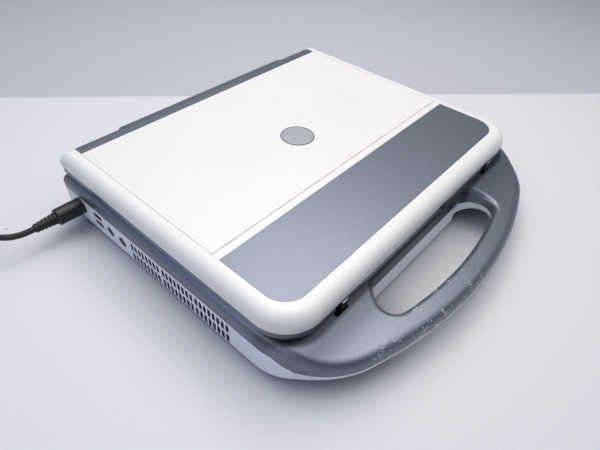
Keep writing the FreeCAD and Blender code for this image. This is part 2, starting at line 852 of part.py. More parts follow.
def hook_slot(x, ends=(0, 0), front=0, back=0, z0=0, z1=reach):
    """The slot that a hook drops through and slides along, or the block round it when widened."""
    left = x - hook_width / 2 - hook_nose - strike_end - ends[0]
    right = x + hook_width / 2 + strike_side + ends[1]
    return box(left, right, slot_front_y - front, slot_back_y + back, z0, z1)


def latch_strikes():
    """The two steel plates under the deck that the hooks slide behind."""
    return Part.makeCompound([
        hook_slot(x, strike_land, strike_front, strike_back, boss_z - strike_thick, boss_z).cut(hook_slot(x))
        for x in hook_places])


# ================================================================ piece makers: base shells
def post_places():
    """Where the six case screws pull the two base shells together."""
    back = base_back_y - wall - post_r - post_back_gap
    side = half - wall - post_r - post_side_gap
    left, middle, right = [front_y + d for d in post_front]
    return [(-side, back), (0, back), (side, back), (-side, left), (0, middle), (side, right)]


def keyboard_well(grow):
    side = keyboard_width / 2 + well_margin + grow
    front = keyboard_front_y - well_margin - grow
    back = keyboard_back_y + well_margin + grow
    return box(-side, side, front, back, key_plate_z - grow, reach)


def pad_bay(grow):
    side = pad_width / 2 + seam + grow
    front = pad_y - pad_depth / 2 - seam - grow
    back = pad_y + pad_depth / 2 + seam + grow
    return box(-side, side, front, back, deck_z - pad_thick - grow, reach)


def button_bay(grow):
    side = pad_width / 2 + clear + grow
    return box(-side, side, button_front_y - clear - grow, button_back_y + clear + grow,
               button_floor_z - grow, reach)


def power_bay(grow):
    return rod(0, power_y, button_floor_z - grow, power_r + clear + grow, reach)


def button_centres():
    """Centres of the two pad buttons."""
    x = (pad_width + button_gap) / 4
    y = (button_front_y + button_back_y) / 2
    return [(-x, y), (x, y)]


def speaker_slots():
    w, d = speaker_slot_size
    slots = []
    for s in (-1, 1):
        for i in range(speaker_slots_across):
            x = s * (speaker_in + i * speaker_slot_pitch)
            slots.append(block_at(x, power_y, w, d, deck_under_z - past, reach, speaker_slot_r))
    return Part.makeCompound(slots)


def light_places():
    return [(i - (light_count - 1) / 2) * light_pitch for i in range(light_count)]


def status_lights():
    w, d = light_size
    return Part.makeCompound([
        block_at(x, light_y, w, d, deck_under_z, deck_z, light_corner_r) for x in light_places()])


def upper_case(shell_solid):
    case = shell_solid.cut(below_seam())
    inner_side = keyboard_width / 2 + well_margin - well_ledge
    case = case.cut(box(-inner_side, inner_side, keyboard_front_y - well_margin + well_ledge,
                        keyboard_back_y + well_margin - well_ledge, 0, reach))
    for x, y in button_centres() + [(0, power_y)]:
        case = case.cut(rod(x, y, 0, stem_r + clear, reach))
    w, d = light_size
    for x in light_places():
        case = case.cut(block_at(x, light_y, w + 2 * snug, d + 2 * snug, 0, reach))
    case = case.cut(speaker_slots())
    x0 = knuckle_x - knuckle_width / 2 - clear
    x1 = knuckle_x + knuckle_width / 2 + clear
    room = stem_width / 2 + clear
    slot = box(x0, x1, hinge_y - room, hinge_y + room, deck_under_z - plate_thick - past, reach)
    case = case.cut(slot).cut(mirror_x(slot))
    inside = base_body(wall - bite)
    for x in hook_places:
        boss = hook_slot(x, strike_land, strike_front, strike_back, boss_z, deck_z).common(inside)
        case = case.fuse(boss).cut(hook_slot(x))
    for x, y in post_places():
        post = rod(x, y, part_z, post_r, upper_case_height).common(inside)
        case = case.fuse(post).cut(rod(x, y, part_z - past, screw_r + pin_clear, case_screw_depth + 3 * past))
    return case.removeSplitter()


def side_slot(y, z0, z1):
    """An upright vent slot with soft corners, cut through the left wall."""
    slot = box(-half - past, -half + wall + past, y - vent_width / 2, y + vent_width / 2, z0, z1)
    corners = [e for e in slot.Edges if abs(e.tangentAt(e.FirstParameter).x) > 0.9]
    return slot.makeFillet(vent_corner_r, corners)


def hole_skirt():
    """The finger hole's rear wall carried down to the belly."""
    side = hole_half - hole_rear_r
    block = box(-side, side, hole_rear_y, hole_rear_y + skirt_depth, foot_height, foot_height + skirt_height)
    low = [e for e in block.Edges if e.CenterOfMass.z < foot_height + bite]
    return block.makeFillet(skirt_r, low)


def foot_places():
    x = half - foot_in
    return [(s * x, y) for y in (base_back_y - foot_back, front_y + foot_front) for s in (-1, 1)]


def foot_block(x, y, grow, z0, z1):
    width = foot_size[0] + 2 * grow
    depth = foot_size[1] + 2 * grow
    return block_at(x, y, width, depth, z0, z1, depth / 2 - snug)


def standoff_places():
    """Under the board: two in front, two behind and one in the middle."""
    front_left, rear_left, middle = [-half + d for d in standoff_in]
    right = board_x - standoff_edge
    front = board_front_y + standoff_front
    return [(front_left, front), (right, front), (rear_left, jack_y - standoff_jack[0]),
            (right, jack_y - standoff_jack[1]), (middle, (front + jack_y) / 2 - standoff_middle)]


def battery_door(grow):
    inset = door_inset - grow
    return rounded(battery_left_x + inset, battery_x - inset, battery_front_y + inset, battery_back_y - inset,
                   foot_height, floor_z, door_corner_r)


def lower_case(shell_solid):
    case = shell_solid.common(below_seam())
    case = case.fuse(hole_skirt())
    slots = [side_slot(top_y - i * vent_pitch, z0, z1)
             for top_y in vent_group_y for i in range(vents_in_group) for z0, z1 in vent_rows]
    case = case.cut(Part.makeCompound(slots))
    margin = vent_width / 2 + vent_margin
    case = case.cut(box(-half + vent_wall, -half + wall + past,
                        vent_group_y[-1] - vent_group_depth - margin, vent_group_y[0] + margin,
                        vent_rows[0][0] - vent_margin, vent_rows[-1][1] + vent_margin))
    case = case.cut(rod(-half - past, jack_y, jack_z, jack_hole_r, wall + 2 * past, V(1, 0, 0)))
    for y in round_y:
        case = case.cut(rod(-half - past, y, round_z, round_r + clear, wall + 2 * past, V(1, 0, 0)))
    w = usb_width / 2 + usb_skin + clear / 2
    for z in usb_z:
        h = usb_height / 2 + usb_skin + clear / 2
        case = case.cut(box(-half - past, -half + wall + past, usb_y - w, usb_y + w, z - h, z + h))
    inside = base_body(wall - bite).common(below_seam())
    for x, y in post_places():
        case = case.fuse(rod(x, y, foot_height, post_r, lower_case_height).common(inside))
        case = case.cut(rod(x, y, 0, screw_r + pin_clear, reach))
        case = case.cut(rod(x, y, 0, screw_head_r + snug, floor_z + screw_head))
    for x, y in standoff_places():
        case = case.fuse(rod(x, y, floor_z - bite, standoff_r, board_z - floor_z + bite))
        case = case.cut(rod(x, y, floor_z, screw_r + pin_clear, reach))
    for x, y in foot_places():
        case = case.cut(foot_block(x, y, snug, 0, foot_height + foot_sink))
    return case.cut(battery_door(seam)).removeSplitter()


# ================================================================ piece makers: keyboard
def key_row(widths, y, depth, start):
    """Caps with their guide stems, left to right from start, each width in key pitches."""
    keys = []
    x = start
    for width in widths:
        x1 = x + width * key_pitch
        cap = box(x + key_gap / 2, x1 - key_gap / 2, y + key_gap / 2, y + depth - key_gap / 2,
                  key_under_z, key_top_z)
        top = [e for e in cap.Edges if e.CenterOfMass.z > key_top_z - bite]
        cap = cap.makeChamfer(key_chamfer, top)
        keys.append(cap.fuse(stem_under(x, x1, y, depth, 0)).removeSplitter())
        x = x1
    return keys


def stem_under(x, x1, y, depth, grow):
    """The square guide stem under a key, or its hole in the plate when grown."""
    side = key_stem / 2 + grow
    cx = (x + x1) / 2
    cy = y + depth / 2
    return box(cx - side, cx + side, cy - side, cy + side, key_plate_z - key_stem_drop, key_under_z)


def keyboard_rows():
    """Each row: node name, key widths, y, depth and start, from the space bar up."""
    left = -keyboard_width / 2
    y = keyboard_front_y
    rows = [
        ("keys_modifier_row", [1.25] * 3, y, key_pitch, left),
        ("key_space_bar", [6.25], y, key_pitch, left + 3.75 * key_pitch),
        ("keys_modifier_row", [1.25] * 4, y, key_pitch, left + 10 * key_pitch),
    ]
    letters = [
        ("keys_lower_row", [2.25] + [1] * 10 + [2.75]),
        ("keys_home_row", [1.75] + [1] * 11 + [2.25]),
        ("keys_upper_row", [1.5] + [1] * 12 + [1.5]),
        ("keys_number_row", [1] * 13 + [2]),
    ]
    for name, widths in letters:
        y += key_pitch
        rows.append((name, widths, y, key_pitch, left))
    rows.append(("keys_function_row", [1] * keys_across, y + key_pitch, function_depth, left))
    return rows


def keyboard_pieces(parts):
    holes = []
    keys = {}
    for name, widths, y, depth, start in keyboard_rows():
        keys.setdefault(name, []).extend(key_row(widths, y, depth, start))
        x = start
        for width in widths:
            holes.append(stem_under(x, x + width * key_pitch, y, depth, key_stem_gap))
            x += width * key_pitch
    for name, caps in keys.items():
        parts[name] = Part.makeCompound(caps)
    side = keyboard_width / 2 + well_margin - seam
    plate = box(-side, side, keyboard_front_y - well_margin + seam, keyboard_back_y + well_margin - seam,
                key_plate_z, key_plate_z + plate_sheet)
    parts["keyboard_plate"] = plate.cut(Part.makeCompound(holes))


def push_button(body):
    """A button with the stem that reaches its switch."""
    middle = body.BoundBox.Center
    return body.fuse(rod(middle.x, middle.y, button_floor_z - wall - clear, stem_r,
                         wall + clear + button_travel + 2 * clear)).removeSplitter()


def pad_pieces(parts):
    parts["touchpad"] = block_at(0, pad_y, pad_width, pad_depth, deck_z - pad_thick, deck_z - pad_sink,
                                 pad_corner_r)
    low = deck_z - button_body
    names = ("touchpad_button_left", "touchpad_button_right")
    for name, (x, y) in zip(names, button_centres()):
        body = block_at(x, y, (pad_width - button_gap) / 2, button_depth, low, deck_z - button_sink,
                        button_corner_r)
        parts[name] = push_button(body)
    cap = rod(0, power_y, low, power_r, button_body + power_stand)
    parts["power_button"] = push_button(cap)


# ================================================================ piece makers: inside the base
def main_board():
    board = box(-half + wall + board_side, board_x, board_front_y, jack_y + board_back, board_z, board_top_z)
    for x, y in standoff_places():
        board = board.cut(rod(x, y, 0, screw_r + pin_clear, reach))
    return board


def board_screws():
    low = floor_z + past
    return Part.makeCompound([
        rod(x, y, low, screw_r, board_top_z - low + bite).fuse(rod(x, y, board_top_z, *board_screw_head))
        for x, y in standoff_places()])


def heat_sink():
    """Spreader over the processor, heat pipe, and fins behind the rear vents."""
    width, depth, thick = spreader
    low = board_top_z + processor_height
    spread_x = -half + processor_in + processor_side + spreader_over
    spread = box(spread_x - width, spread_x, heat_y - depth / 2, heat_y + depth / 2, low, low + thick)
    fin_x0 = -half + wall + fin_gap
    fin_x1 = fin_x0 + fin_block[0]
    y0 = heat_y - fin_block[1] / 2
    y1 = heat_y + fin_block[1] / 2
    top = vent_rows[1][1] + fin_gap
    pipe_x = fin_x1 - heat_pipe_r
    pipe = rod(pipe_x, heat_y, board_top_z + heat_pipe_lift, heat_pipe_r, spread_x - heat_pipe_r - pipe_x,
               V(1, 0, 0))
    pieces = [spread, pipe, box(fin_x0, fin_x1, y0, y1, low, low + fin_base),
              box(fin_x0, fin_x1, y0, y1, top - fin_cover, top)]
    pitch = (y1 - y0 - fin_thick) / (fin_count - 1)
    for i in range(fin_count):
        y = y0 + i * pitch
        pieces.append(box(fin_x0, fin_x1, y, y + fin_thick, low, top))
    return fuse(pieces)


def fan_pieces(parts):
    low = board_top_z
    top = low + fan_height
    s = fan_size / 2
    inner = s - fan_skin
    seat_r, seat_rise = shaft_seat
    housing = box(fan_x - s, fan_x + s, fan_y - s, fan_y + s, low, top)
    housing = housing.cut(box(fan_x - reach, fan_x + inner, fan_y - inner, fan_y + inner,
                              low + fan_skin, top - fan_skin))
    housing = housing.cut(rod(fan_x, fan_y, top - fan_skin - past, fan_mouth_r, reach))
    shaft = rod(fan_x, fan_y, low, shaft_r, fan_height - shaft_short)
    seat = rod(fan_x, fan_y, low, seat_r, fan_skin + seat_rise)
    parts["fan_housing"] = fuse([housing, seat, shaft])
    z0 = low + fan_skin + rotor_gap
    z1 = top - fan_skin - rotor_gap
    rotor = [rod(fan_x, fan_y, z0, hub_r, z1 - z0)]
    for i in range(blades):
        side = blade_thick / 2
        blade = box(hub_r - past, rotor_r, -side, side, z0 + blade_trim, z1 - blade_trim)
        blade.rotate(V(hub_r, 0, 0), V(0, 0, 1), blade_lean)
        blade.rotate(V(0, 0, 0), V(0, 0, 1), i * 360 / blades)
        blade.translate(V(fan_x, fan_y, 0))
        rotor.append(blade)
    bore = rod(fan_x, fan_y, 0, shaft_r + pin_clear, top - shaft_short + shaft_gap)
    parts["fan_rotor"] = fuse(rotor).cut(bore)


def round_socket(y):
    """A round socket on the board: a barrel in the wall, with a groove round its contact block."""
    x0 = -half + socket_sink
    low = x0 - past
    r = round_r
    barrel = rod(x0, y, round_z, r, socket_length - 2 * past, V(1, 0, 0))
    block = box(x0 + wall + socket_step, x0 + socket_length, y - r - round_side, y + r + round_side,
                board_top_z, round_z + r + round_side)
    groove = rod(low, y, round_z, r - round_lip, round_depth, V(1, 0, 0))
    groove = groove.cut(rod(low, y, round_z, round_pin_r, round_depth, V(1, 0, 0)))
    return fuse([barrel, block]).cut(groove)


def dc_jack():
    length, side = jack_block
    x0 = -half + wall + clear
    block = box(x0, x0 + length, jack_y - side, jack_y + side, board_top_z, jack_z + side)
    collar = rod(-half + jack_sink, jack_y, jack_z, jack_hole_r - 2 * snug, wall + past, V(1, 0, 0))
    mouth = rod(-half, jack_y, jack_z, nose_r + snug, nose_length + 2 * past, V(1, 0, 0))
    return fuse([block, collar]).cut(mouth)


def usb_sockets():
    """Two stacked sockets: steel shells, contact tongues and the block behind them."""
    x0 = -half + usb_sink
    x1 = x0 + usb_depth
    w = usb_width / 2
    h = usb_height / 2
    inset, side = usb_tongue
    pieces = []
    for z in usb_z:
        skin = box(x0, x1, usb_y - w - usb_skin, usb_y + w + usb_skin, z - h - usb_skin, z + h + usb_skin)
        pieces.append(skin.cut(box(x0 - past, x1, usb_y - w, usb_y + w, z - h, z + h)))
        pieces.append(box(x0 + inset, x1, usb_y - w + side, usb_y + w - side,
                          z + usb_tongue_z[0], z + usb_tongue_z[1]))
    back, over = usb_block
    low, high = usb_z
    pieces.append(box(x1 - snug, x1 + back, usb_y - w - over, usb_y + w + over, board_top_z, high + h + over))
    pieces.append(box(x0 + wall + over, x1, usb_y - w, usb_y + w,
                      low + h + usb_skin - snug, high - h - usb_skin + snug))
    return fuse(pieces)


def speaker(sign):
    x0 = speaker_in - speaker_margin
    x1 = speaker_in + (speaker_slots_across - 1) * speaker_slot_pitch + speaker_margin
    y0 = power_y - speaker_depth / 2
    y1 = power_y + speaker_depth / 2
    low = deck_under_z - speaker_height
    block = rounded(x0, x1, y0, y1, low, deck_under_z, speaker_wall)
    rim = speaker_wall / 2
    cone = box(x0 + speaker_wall, x1 - speaker_wall, y0 + rim, y1 - rim, deck_under_z - speaker_cone, reach)
    block = block.cut(cone)
    return block if sign > 0 else mirror_x(block)


def case_screws():
    neck_z = floor_z + screw_head
    return Part.makeCompound([
        rod(x, y, floor_z, screw_head_r, screw_head)
        .fuse(rod(x, y, neck_z, screw_r, part_z + case_screw_depth - neck_z))
        for x, y in post_places()])


def lid_screws():
    low = lid_z + snug
    neck_z = low + lid_head
    return Part.makeCompound([
        rod(x, y, low, screw_head_r, lid_head)
        .fuse(rod(x, y, neck_z, screw_r, rim_z + lid_screw_depth - neck_z))
        for x, y in lid_post_places()])


def lid_bumpers():
    """Rubber pads that keep the lid off the deck."""
    side = lid_half - bumper_in
    front = lid_front_y + bumper_front
    spots = [(side, screen_y - bumper_off), (side, screen_y + bumper_off), (bumper_off, front)]
    low = deck_z + bumper_lift
    return Part.makeCompound([
        rod(s * x, y, low, bumper_r, lid_z - low) for s in (-1, 1) for x, y in spots])


# ================================================================ piece makers: lead and adapter
def lead_plug():
    body = rod(plug_x, jack_y, jack_z, plug_r, plug_length, V(-1, 0, 0))
    ends = [e for e in body.Edges if e.CenterOfMass.x < plug_back_x + bite and e.Closed]
    body = body.makeFillet(plug_round_r, ends)
    from_back, from_front, deep = plug_groove
    groove = box(plug_back_x + from_back, plug_x - from_front, jack_y - plug_r - past, jack_y - plug_r + deep,
                 jack_z - nose_r / 2, jack_z + nose_r / 2)
    nose = rod(plug_x - past, jack_y, jack_z, nose_r, nose_length + past, V(1, 0, 0))
    return fuse([body.cut(groove), nose])


def strain_relief(x, y, z, way):
    """A ribbed sleeve that starts at a point and narrows to the cord, along +X or -X."""
    along = V(way, 0, 0)
    pieces = [Part.makeCone(relief_r * relief_core, cord_r + relief_end, relief_length, V(x, y, z), along)]
    step = relief_length / relief_ribs
    last_r = cord_r + relief_end_rib
    for i in range(relief_ribs):
        r = relief_r + (last_r - relief_r) * i / (relief_ribs - 1)
        pieces.append(rod(x + way * i * step, y, z, r, step * relief_rib_share, along))
    return fuse(pieces)


def tube_along(points, name):
    """A round tube along straight runs joined by tangent arcs as large as the runs allow."""
    pts = [V(*p) for p in points]
    edges = []
    last = pts[0]
    radii = []
    for a, b, c in zip(pts, pts[1:], pts[2:]):
        back = (a - b)
        ahead = (c - b)
        turn = math.pi - back.getAngle(ahead)
        cut = bend_share * min(back.Length, ahead.Length)
        radius = cut / math.tan(turn / 2)
        radii.append(radius)
        start = b + back.normalize() * cut
        end = b + ahead.normalize() * cut
        half_way = (start + end) * 0.5
        centre = b + (half_way - b).normalize() * (radius / math.cos(turn / 2))
        middle = centre + (b - centre).normalize() * radius
        edges.append(Part.LineSegment(last, start).toShape())
        edges.append(Part.Arc(start, middle, end).toShape())
        last = end
    edges.append(Part.LineSegment(last, pts[-1]).toShape())
    path = Part.Wire(edges)
    first = (pts[1] - pts[0]).normalize()
    ring = Part.Wire(Part.makeCircle(cord_r, pts[0], first))
    tube = path.makePipeShell([ring], True, False)
    section = math.pi * cord_r ** 2
    ratio = tube.Volume / (section * path.Length)
    print(name, "length", round(path.Length, 1), "volume ratio", round(ratio, 4),
          "radii", [round(r, 1) for r in radii])
    return tube


def coil_entry():
    """Where the lead meets the coil: on its outer turn, on the side towards the computer."""
    return (coil_centre[0] + coil_outer_r - cord_r, coil_centre[1], cord_r)


def adapter_pieces(parts):
    w, d, h = adapter
    x, y = adapter_centre
    block = block_at(x, y, w, d, 0, h, adapter_corner_r)
    top = [e for e in block.Edges if e.CenterOfMass.z > h - bite]
    block = block.makeFillet(adapter_edge_r, top)
    iw, depth, ih = inlet_size
    back = y + d / 2
    recess_y = back + (past - depth) / 2
    recess = block_at(x, recess_y, iw, depth + past, (h - ih) / 2, (h + ih) / 2, inlet_corner_r)
    parts["adapter_inlet"] = adapter_inlet(x, back, h / 2)
    parts["power_adapter"] = block.cut(recess)


def adapter_inlet(x, y, z):
    """Mains inlet: a dark insert with an open well and two contact pins."""
    iw, depth, ih = inlet_size
    half_w = iw / 2 - inlet_gap
    half_h = ih / 2 - inlet_gap
    well_w = half_w - inlet_rim
    well_h = half_h - inlet_rim
    insert = box(x - half_w, x + half_w, y - depth + inlet_gap, y, z - half_h, z + half_h)
    well = box(x - well_w, x + well_w, y - inlet_depth, y + past, z - well_h, z + well_h)
    root = y - inlet_depth - inlet_gap
    pins = [rod(x + s * inlet_pin_pitch / 2, root, z, inlet_pin_r, inlet_pin_length, V(0, 1, 0))
            for s in (-1, 1)]
    return fuse([insert.cut(well)] + pins)


def lead_pieces(parts):
    parts["lead_plug"] = lead_plug()
    parts["lead_strain_relief"] = strain_relief(plug_back_x, jack_y, jack_z, -1)
    end = coil_entry()
    parts["lead_cord"] = tube_along(route + [end], "lead_cord")
    ring = rod(*coil_centre, 0, coil_outer_r, 2 * cord_r * coil_layers)
    parts["lead_coil"] = ring.cut(rod(*coil_centre, -past, coil_mid_r - coil_width / 2, reach))
    gland_x = adapter_centre[0] + adapter[0] / 2
    gland_y = coil_centre[1] + coil_outer_r - cord_r
    gland_z = 3 * cord_r
    parts["adapter_strain_relief"] = strain_relief(gland_x, gland_y, gland_z, 1)
    tail = [(gland_x + relief_length, gland_y, gland_z), (coil_centre[0], gland_y, gland_z)]
    parts["lead_tail"] = rod(*tail[0], cord_r, tail[1][0] - tail[0][0], V(1, 0, 0))


# ================================================================ build
def build():
    parts = {}
    outer = base_body(0)
    inner = base_body(wall)
    for bay in (keyboard_well, pad_bay, button_bay, power_bay):
        outer = outer.cut(bay(0))
        inner = inner.cut(bay(wall))
    shell_solid = outer.cut(inner)
    parts["base_lower_case"] = lower_case(shell_solid)
    parts["base_upper_case"] = upper_case(shell_solid)
    parts["battery_cover"] = battery_door(0)
    parts["battery_pack"] = rounded(battery_left_x, battery_x, battery_front_y, battery_back_y,
                                    floor_z, floor_z + battery_height, battery_corner_r)
    width, depth, height = drive_size
    parts["hard_drive"] = rounded(drive_x - width, drive_x, drive_front_y, drive_front_y + depth,
                                  floor_z, floor_z + height, drive_corner_r)
    parts["rubber_feet"] = Part.makeCompound(
        [foot_block(x, y, 0, 0, foot_height + foot_sink) for x, y in foot_places()])
    parts["case_screws"] = case_screws()
    parts["main_board"] = main_board()
    parts["board_screws"] = board_screws()
    chip_x = -half + processor_in
    chip_half = processor_side / 2
    parts["processor"] = box(chip_x, chip_x + processor_side, heat_y - chip_half, heat_y + chip_half,
                             board_top_z, board_top_z + processor_height)
    parts["heat_sink"] = heat_sink()
    fan_pieces(parts)
    width, depth, height = memory_size
    parts["memory_module"] = box(memory_x - width, memory_x, memory_y - depth, memory_y,
                                 board_top_z, board_top_z + height)
    parts["clock_battery"] = rod(board_x - cell_in, memory_y + cell_behind, board_top_z, *cell_size)
    parts["speaker_left"] = speaker(-1)
    parts["speaker_right"] = speaker(1)
    parts["dc_jack"] = dc_jack()
    parts["usb_sockets"] = usb_sockets()
    for name, y in zip(("round_socket_front", "round_socket_rear"), round_y):
        parts[name] = round_socket(y)
    parts["hinge_bracket_right"] = hinge_bracket()
    parts["hinge_bracket_left"] = mirror_x(hinge_bracket())
    parts["latch_strikes"] = latch_strikes()
    parts["status_lights"] = status_lights()
    keyboard_pieces(parts)
    pad_pieces(parts)
    lid_pieces(parts)
    parts["lid_bezel"] = bezel_piece()
    parts["display_panel"] = screen_piece()
    parts["hinge_arm_right"] = hinge_arm()
    parts["hinge_arm_left"] = mirror_x(hinge_arm())
    parts["lid_screws"] = lid_screws()
    parts["lid_bumpers"] = lid_bumpers()
    parts["latch_bar"] = latch_bar()
    parts["latch_hook_left"] = latch_hook(hook_places[0])
    parts["latch_hook_right"] = latch_hook(hook_places[1])
    parts["latch_knob"] = latch_knob()
    lead_pieces(parts)
    adapter_pieces(parts)
    return parts


os.makedirs("parts", exist_ok=True)
for node, shape in build().items():
    shape.exportStep(os.path.join("parts", node + ".step"))
    print(node, len(shape.Solids), "valid" if shape.isValid() else "NOT VALID")
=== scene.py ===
import bpy
import bmesh
import json
import math
from mathutils import Matrix, Vector


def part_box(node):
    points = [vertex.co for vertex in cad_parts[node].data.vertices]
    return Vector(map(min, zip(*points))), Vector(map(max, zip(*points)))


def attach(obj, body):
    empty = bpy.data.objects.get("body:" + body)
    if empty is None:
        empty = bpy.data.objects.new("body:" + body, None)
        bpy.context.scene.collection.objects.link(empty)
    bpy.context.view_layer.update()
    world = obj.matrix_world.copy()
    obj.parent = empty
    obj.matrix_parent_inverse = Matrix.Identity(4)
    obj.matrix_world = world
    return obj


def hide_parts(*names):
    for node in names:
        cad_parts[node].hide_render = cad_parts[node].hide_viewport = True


# Laptop computer with a carrying handle: finishes, lead, and the small fittings on its shells.
# Metres, in the computer's own frame: +X is the user's right, +Y the hinge, +Z up.

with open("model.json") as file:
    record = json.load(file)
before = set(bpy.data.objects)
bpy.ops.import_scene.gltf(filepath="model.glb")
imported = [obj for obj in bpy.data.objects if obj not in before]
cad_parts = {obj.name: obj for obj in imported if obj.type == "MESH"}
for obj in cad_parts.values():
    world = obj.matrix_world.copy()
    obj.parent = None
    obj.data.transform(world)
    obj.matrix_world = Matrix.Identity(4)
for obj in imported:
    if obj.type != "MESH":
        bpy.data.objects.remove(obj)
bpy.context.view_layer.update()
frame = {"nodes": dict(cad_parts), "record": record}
nodes = frame["nodes"]
MM = 0.001

# Places on the shells that the finishes and the fittings keep to.
ARC_Y = 206.5 * MM            # centre of the handle's arcs
OUTER_R = 380.0 * MM          # outer edge of the handle
HOLE_R = 359.0 * MM           # front edge of the finger hole
DECK_Z = 44.5 * MM
LID_HALF = 174.5 * MM
LID_HALF_DEPTH = 141.5 * MM
LID_MIDDLE_Y = 29.0 * MM
LID_CORNER = 32.0 * MM
TOP_Z = 67.5 * MM
CENTRE_Y = -23.8 * MM         # front edge of the lid's centre panel
INLAY_X = 160.0 * MM          # its side edges
DOOR_Z = 1.9 * MM             # faces of the doors under the base


def mm(*values):
    """Millimetres to metres."""
    return tuple(value * MM for value in values)


# ---------------------------------------------------------------- camera
SENSOR_WIDTH = 36.0
LENS = 27.976
CAMERA_PLACE = (-0.2966, -0.2138, 0.3173)
CAMERA_FORWARD = (0.5635, 0.4552, -0.6894)
CAMERA_RIGHT = (0.6613, -0.7487, 0.0462)


def make_camera():
    data = bpy.data.cameras.new("camera")
    data.sensor_width = SENSOR_WIDTH
    data.lens = LENS
    data.clip_start = 10 * MM
    camera = bpy.data.objects.new("camera", data)
    bpy.context.scene.collection.objects.link(camera)
    forward = Vector(CAMERA_FORWARD).normalized()
    right = Vector(CAMERA_RIGHT)
    right = (right - forward * right.dot(forward)).normalized()
    up = right.cross(forward)
    turn = Matrix((right, up, -forward)).transposed()
    camera.matrix_world = Matrix.Translation(CAMERA_PLACE) @ turn.to_4x4()
    bpy.context.scene.camera = camera


# ---------------------------------------------------------------- node helpers
MIX_FIRST = 6                 # a Mix node's colour sockets, which share their names with its others
MIX_SECOND = 7
MIX_RESULT = 2


def new_material(name):
    material = bpy.data.materials.new(name)
    material.use_nodes = True
    tree = material.node_tree
    shader = tree.nodes["Principled BSDF"]
    return material, tree, shader


def add(tree, kind, **values):
    """A node with its properties set, and with its inputs set where a value names an input."""
    node = tree.nodes.new(kind)
    for key, value in values.items():
        if key in node.inputs:
            node.inputs[key].default_value = value
        else:
            setattr(node, key, value)
    return node


def object_coords(tree):
    return add(tree, "ShaderNodeTexCoord").outputs["Object"]


def axes(tree, vector):
    """The x, y and z of a vector, each as a value."""
    parts = add(tree, "ShaderNodeSeparateXYZ")
    tree.links.new(vector, parts.inputs["Vector"])
    return parts.outputs


def noise(tree, coords, scale, detail=2.0, rough=0.5):
    node = add(tree, "ShaderNodeTexNoise", Scale=scale, Detail=detail, Roughness=rough)
    tree.links.new(coords, node.inputs["Vector"])
    return node.outputs["Fac"]


def placed(tree, coords, **values):
    """Coordinates moved, turned or scaled differently along each axis."""
    node = add(tree, "ShaderNodeMapping", **values)
    tree.links.new(coords, node.inputs["Vector"])
    return node.outputs["Vector"]


def mix_colour(tree, mask, first, second):
    """first where the mask is 0, second where it is 1; each is a colour or a socket."""
    node = add(tree, "ShaderNodeMix", data_type="RGBA")
    for socket, value in ((node.inputs[MIX_FIRST], first), (node.inputs[MIX_SECOND], second)):
        if isinstance(value, (tuple, list)):
            socket.default_value = (*value, 1.0)
        else:
            tree.links.new(value, socket)
    tree.links.new(mask, node.inputs["Factor"])
    return node.outputs[MIX_RESULT]


def spread(tree, source, low, high, from_low=0.0, from_high=1.0):
    """Maps a value to a range."""
    node = add(tree, "ShaderNodeMapRange", clamp=True)
    node.inputs["From Min"].default_value = from_low
    node.inputs["From Max"].default_value = from_high
    node.inputs["To Min"].default_value = low
    node.inputs["To Max"].default_value = high
    tree.links.new(source, node.inputs["Value"])
    return node.outputs["Result"]


def within(tree, source, rise, fall):
    """1 between two soft edges; the rise and the fall are each a start and an end, in mm."""
    risen = spread(tree, source, 0.0, 1.0, *mm(*rise))
    not_fallen = spread(tree, source, 1.0, 0.0, *mm(*fall))
    return product(tree, risen, not_fallen)


def maths(tree, operation, first, second=0.0):
    """A sum on two values; each is a number or a socket."""
    node = add(tree, "ShaderNodeMath", operation=operation)
    for socket, value in zip(node.inputs, (first, second)):
        if isinstance(value, (int, float)):
            socket.default_value = value
        else:
            tree.links.new(value, socket)
    return node.outputs[0]


def product(tree, first, *others):
    for other in others:
        first = maths(tree, "MULTIPLY", first, other)
    return first


def bump(tree, shader, height, strength, distance):
    node = add(tree, "ShaderNodeBump", Strength=strength, Distance=distance)
    tree.links.new(height, node.inputs["Height"])
    tree.links.new(node.outputs["Normal"], shader.inputs["Normal"])


def tint(colour, share):
    return tuple(min(c * share, 1.0) for c in colour)


# ---------------------------------------------------------------- shared effects
SCRATCH_TURNS = (0.5, -0.9)           # radians
SCRATCH_SCALE = (14.0, 900.0, 14.0)   # long and thin


def new_group(name, inputs, outputs):
    """A node group: inputs as (label, default), a vector where the default is None; outputs are values."""
    group = bpy.data.node_groups.new(name, "ShaderNodeTree")
    for label, value in inputs:
        kind = "NodeSocketVector" if value is None else "NodeSocketFloat"
        socket = group.interface.new_socket(name=label, in_out="INPUT", socket_type=kind)
        if value is not None:
            socket.default_value = value
    for label in outputs:
        group.interface.new_socket(name=label, in_out="OUTPUT", socket_type="NodeSocketFloat")
    given = group.nodes.new("NodeGroupInput").outputs
    out = group.nodes.new("NodeGroupOutput").inputs
    return group, given, out


def scaled_noise(group, coords, scale, detail, rough=0.5):
    node = add(group, "ShaderNodeTexNoise", Detail=detail, Roughness=rough)
    group.links.new(coords, node.inputs["Vector"])
    group.links.new(scale, node.inputs["Scale"])
    return node.outputs["Fac"]


def grain_group():
    """Skin of moulded or painted plastic: a fine texture and a slow cloudiness."""
    group, given, out = new_group(
        "grain", [("Vector", None), ("Fine Scale", 2200.0), ("Cloud Scale", 28.0)], ["Fine", "Cloud"])
    group.links.new(scaled_noise(group, given["Vector"], given["Fine Scale"], 1.0), out["Fine"])
    group.links.new(scaled_noise(group, given["Vector"], given["Cloud Scale"], 3.0), out["Cloud"])
    return group


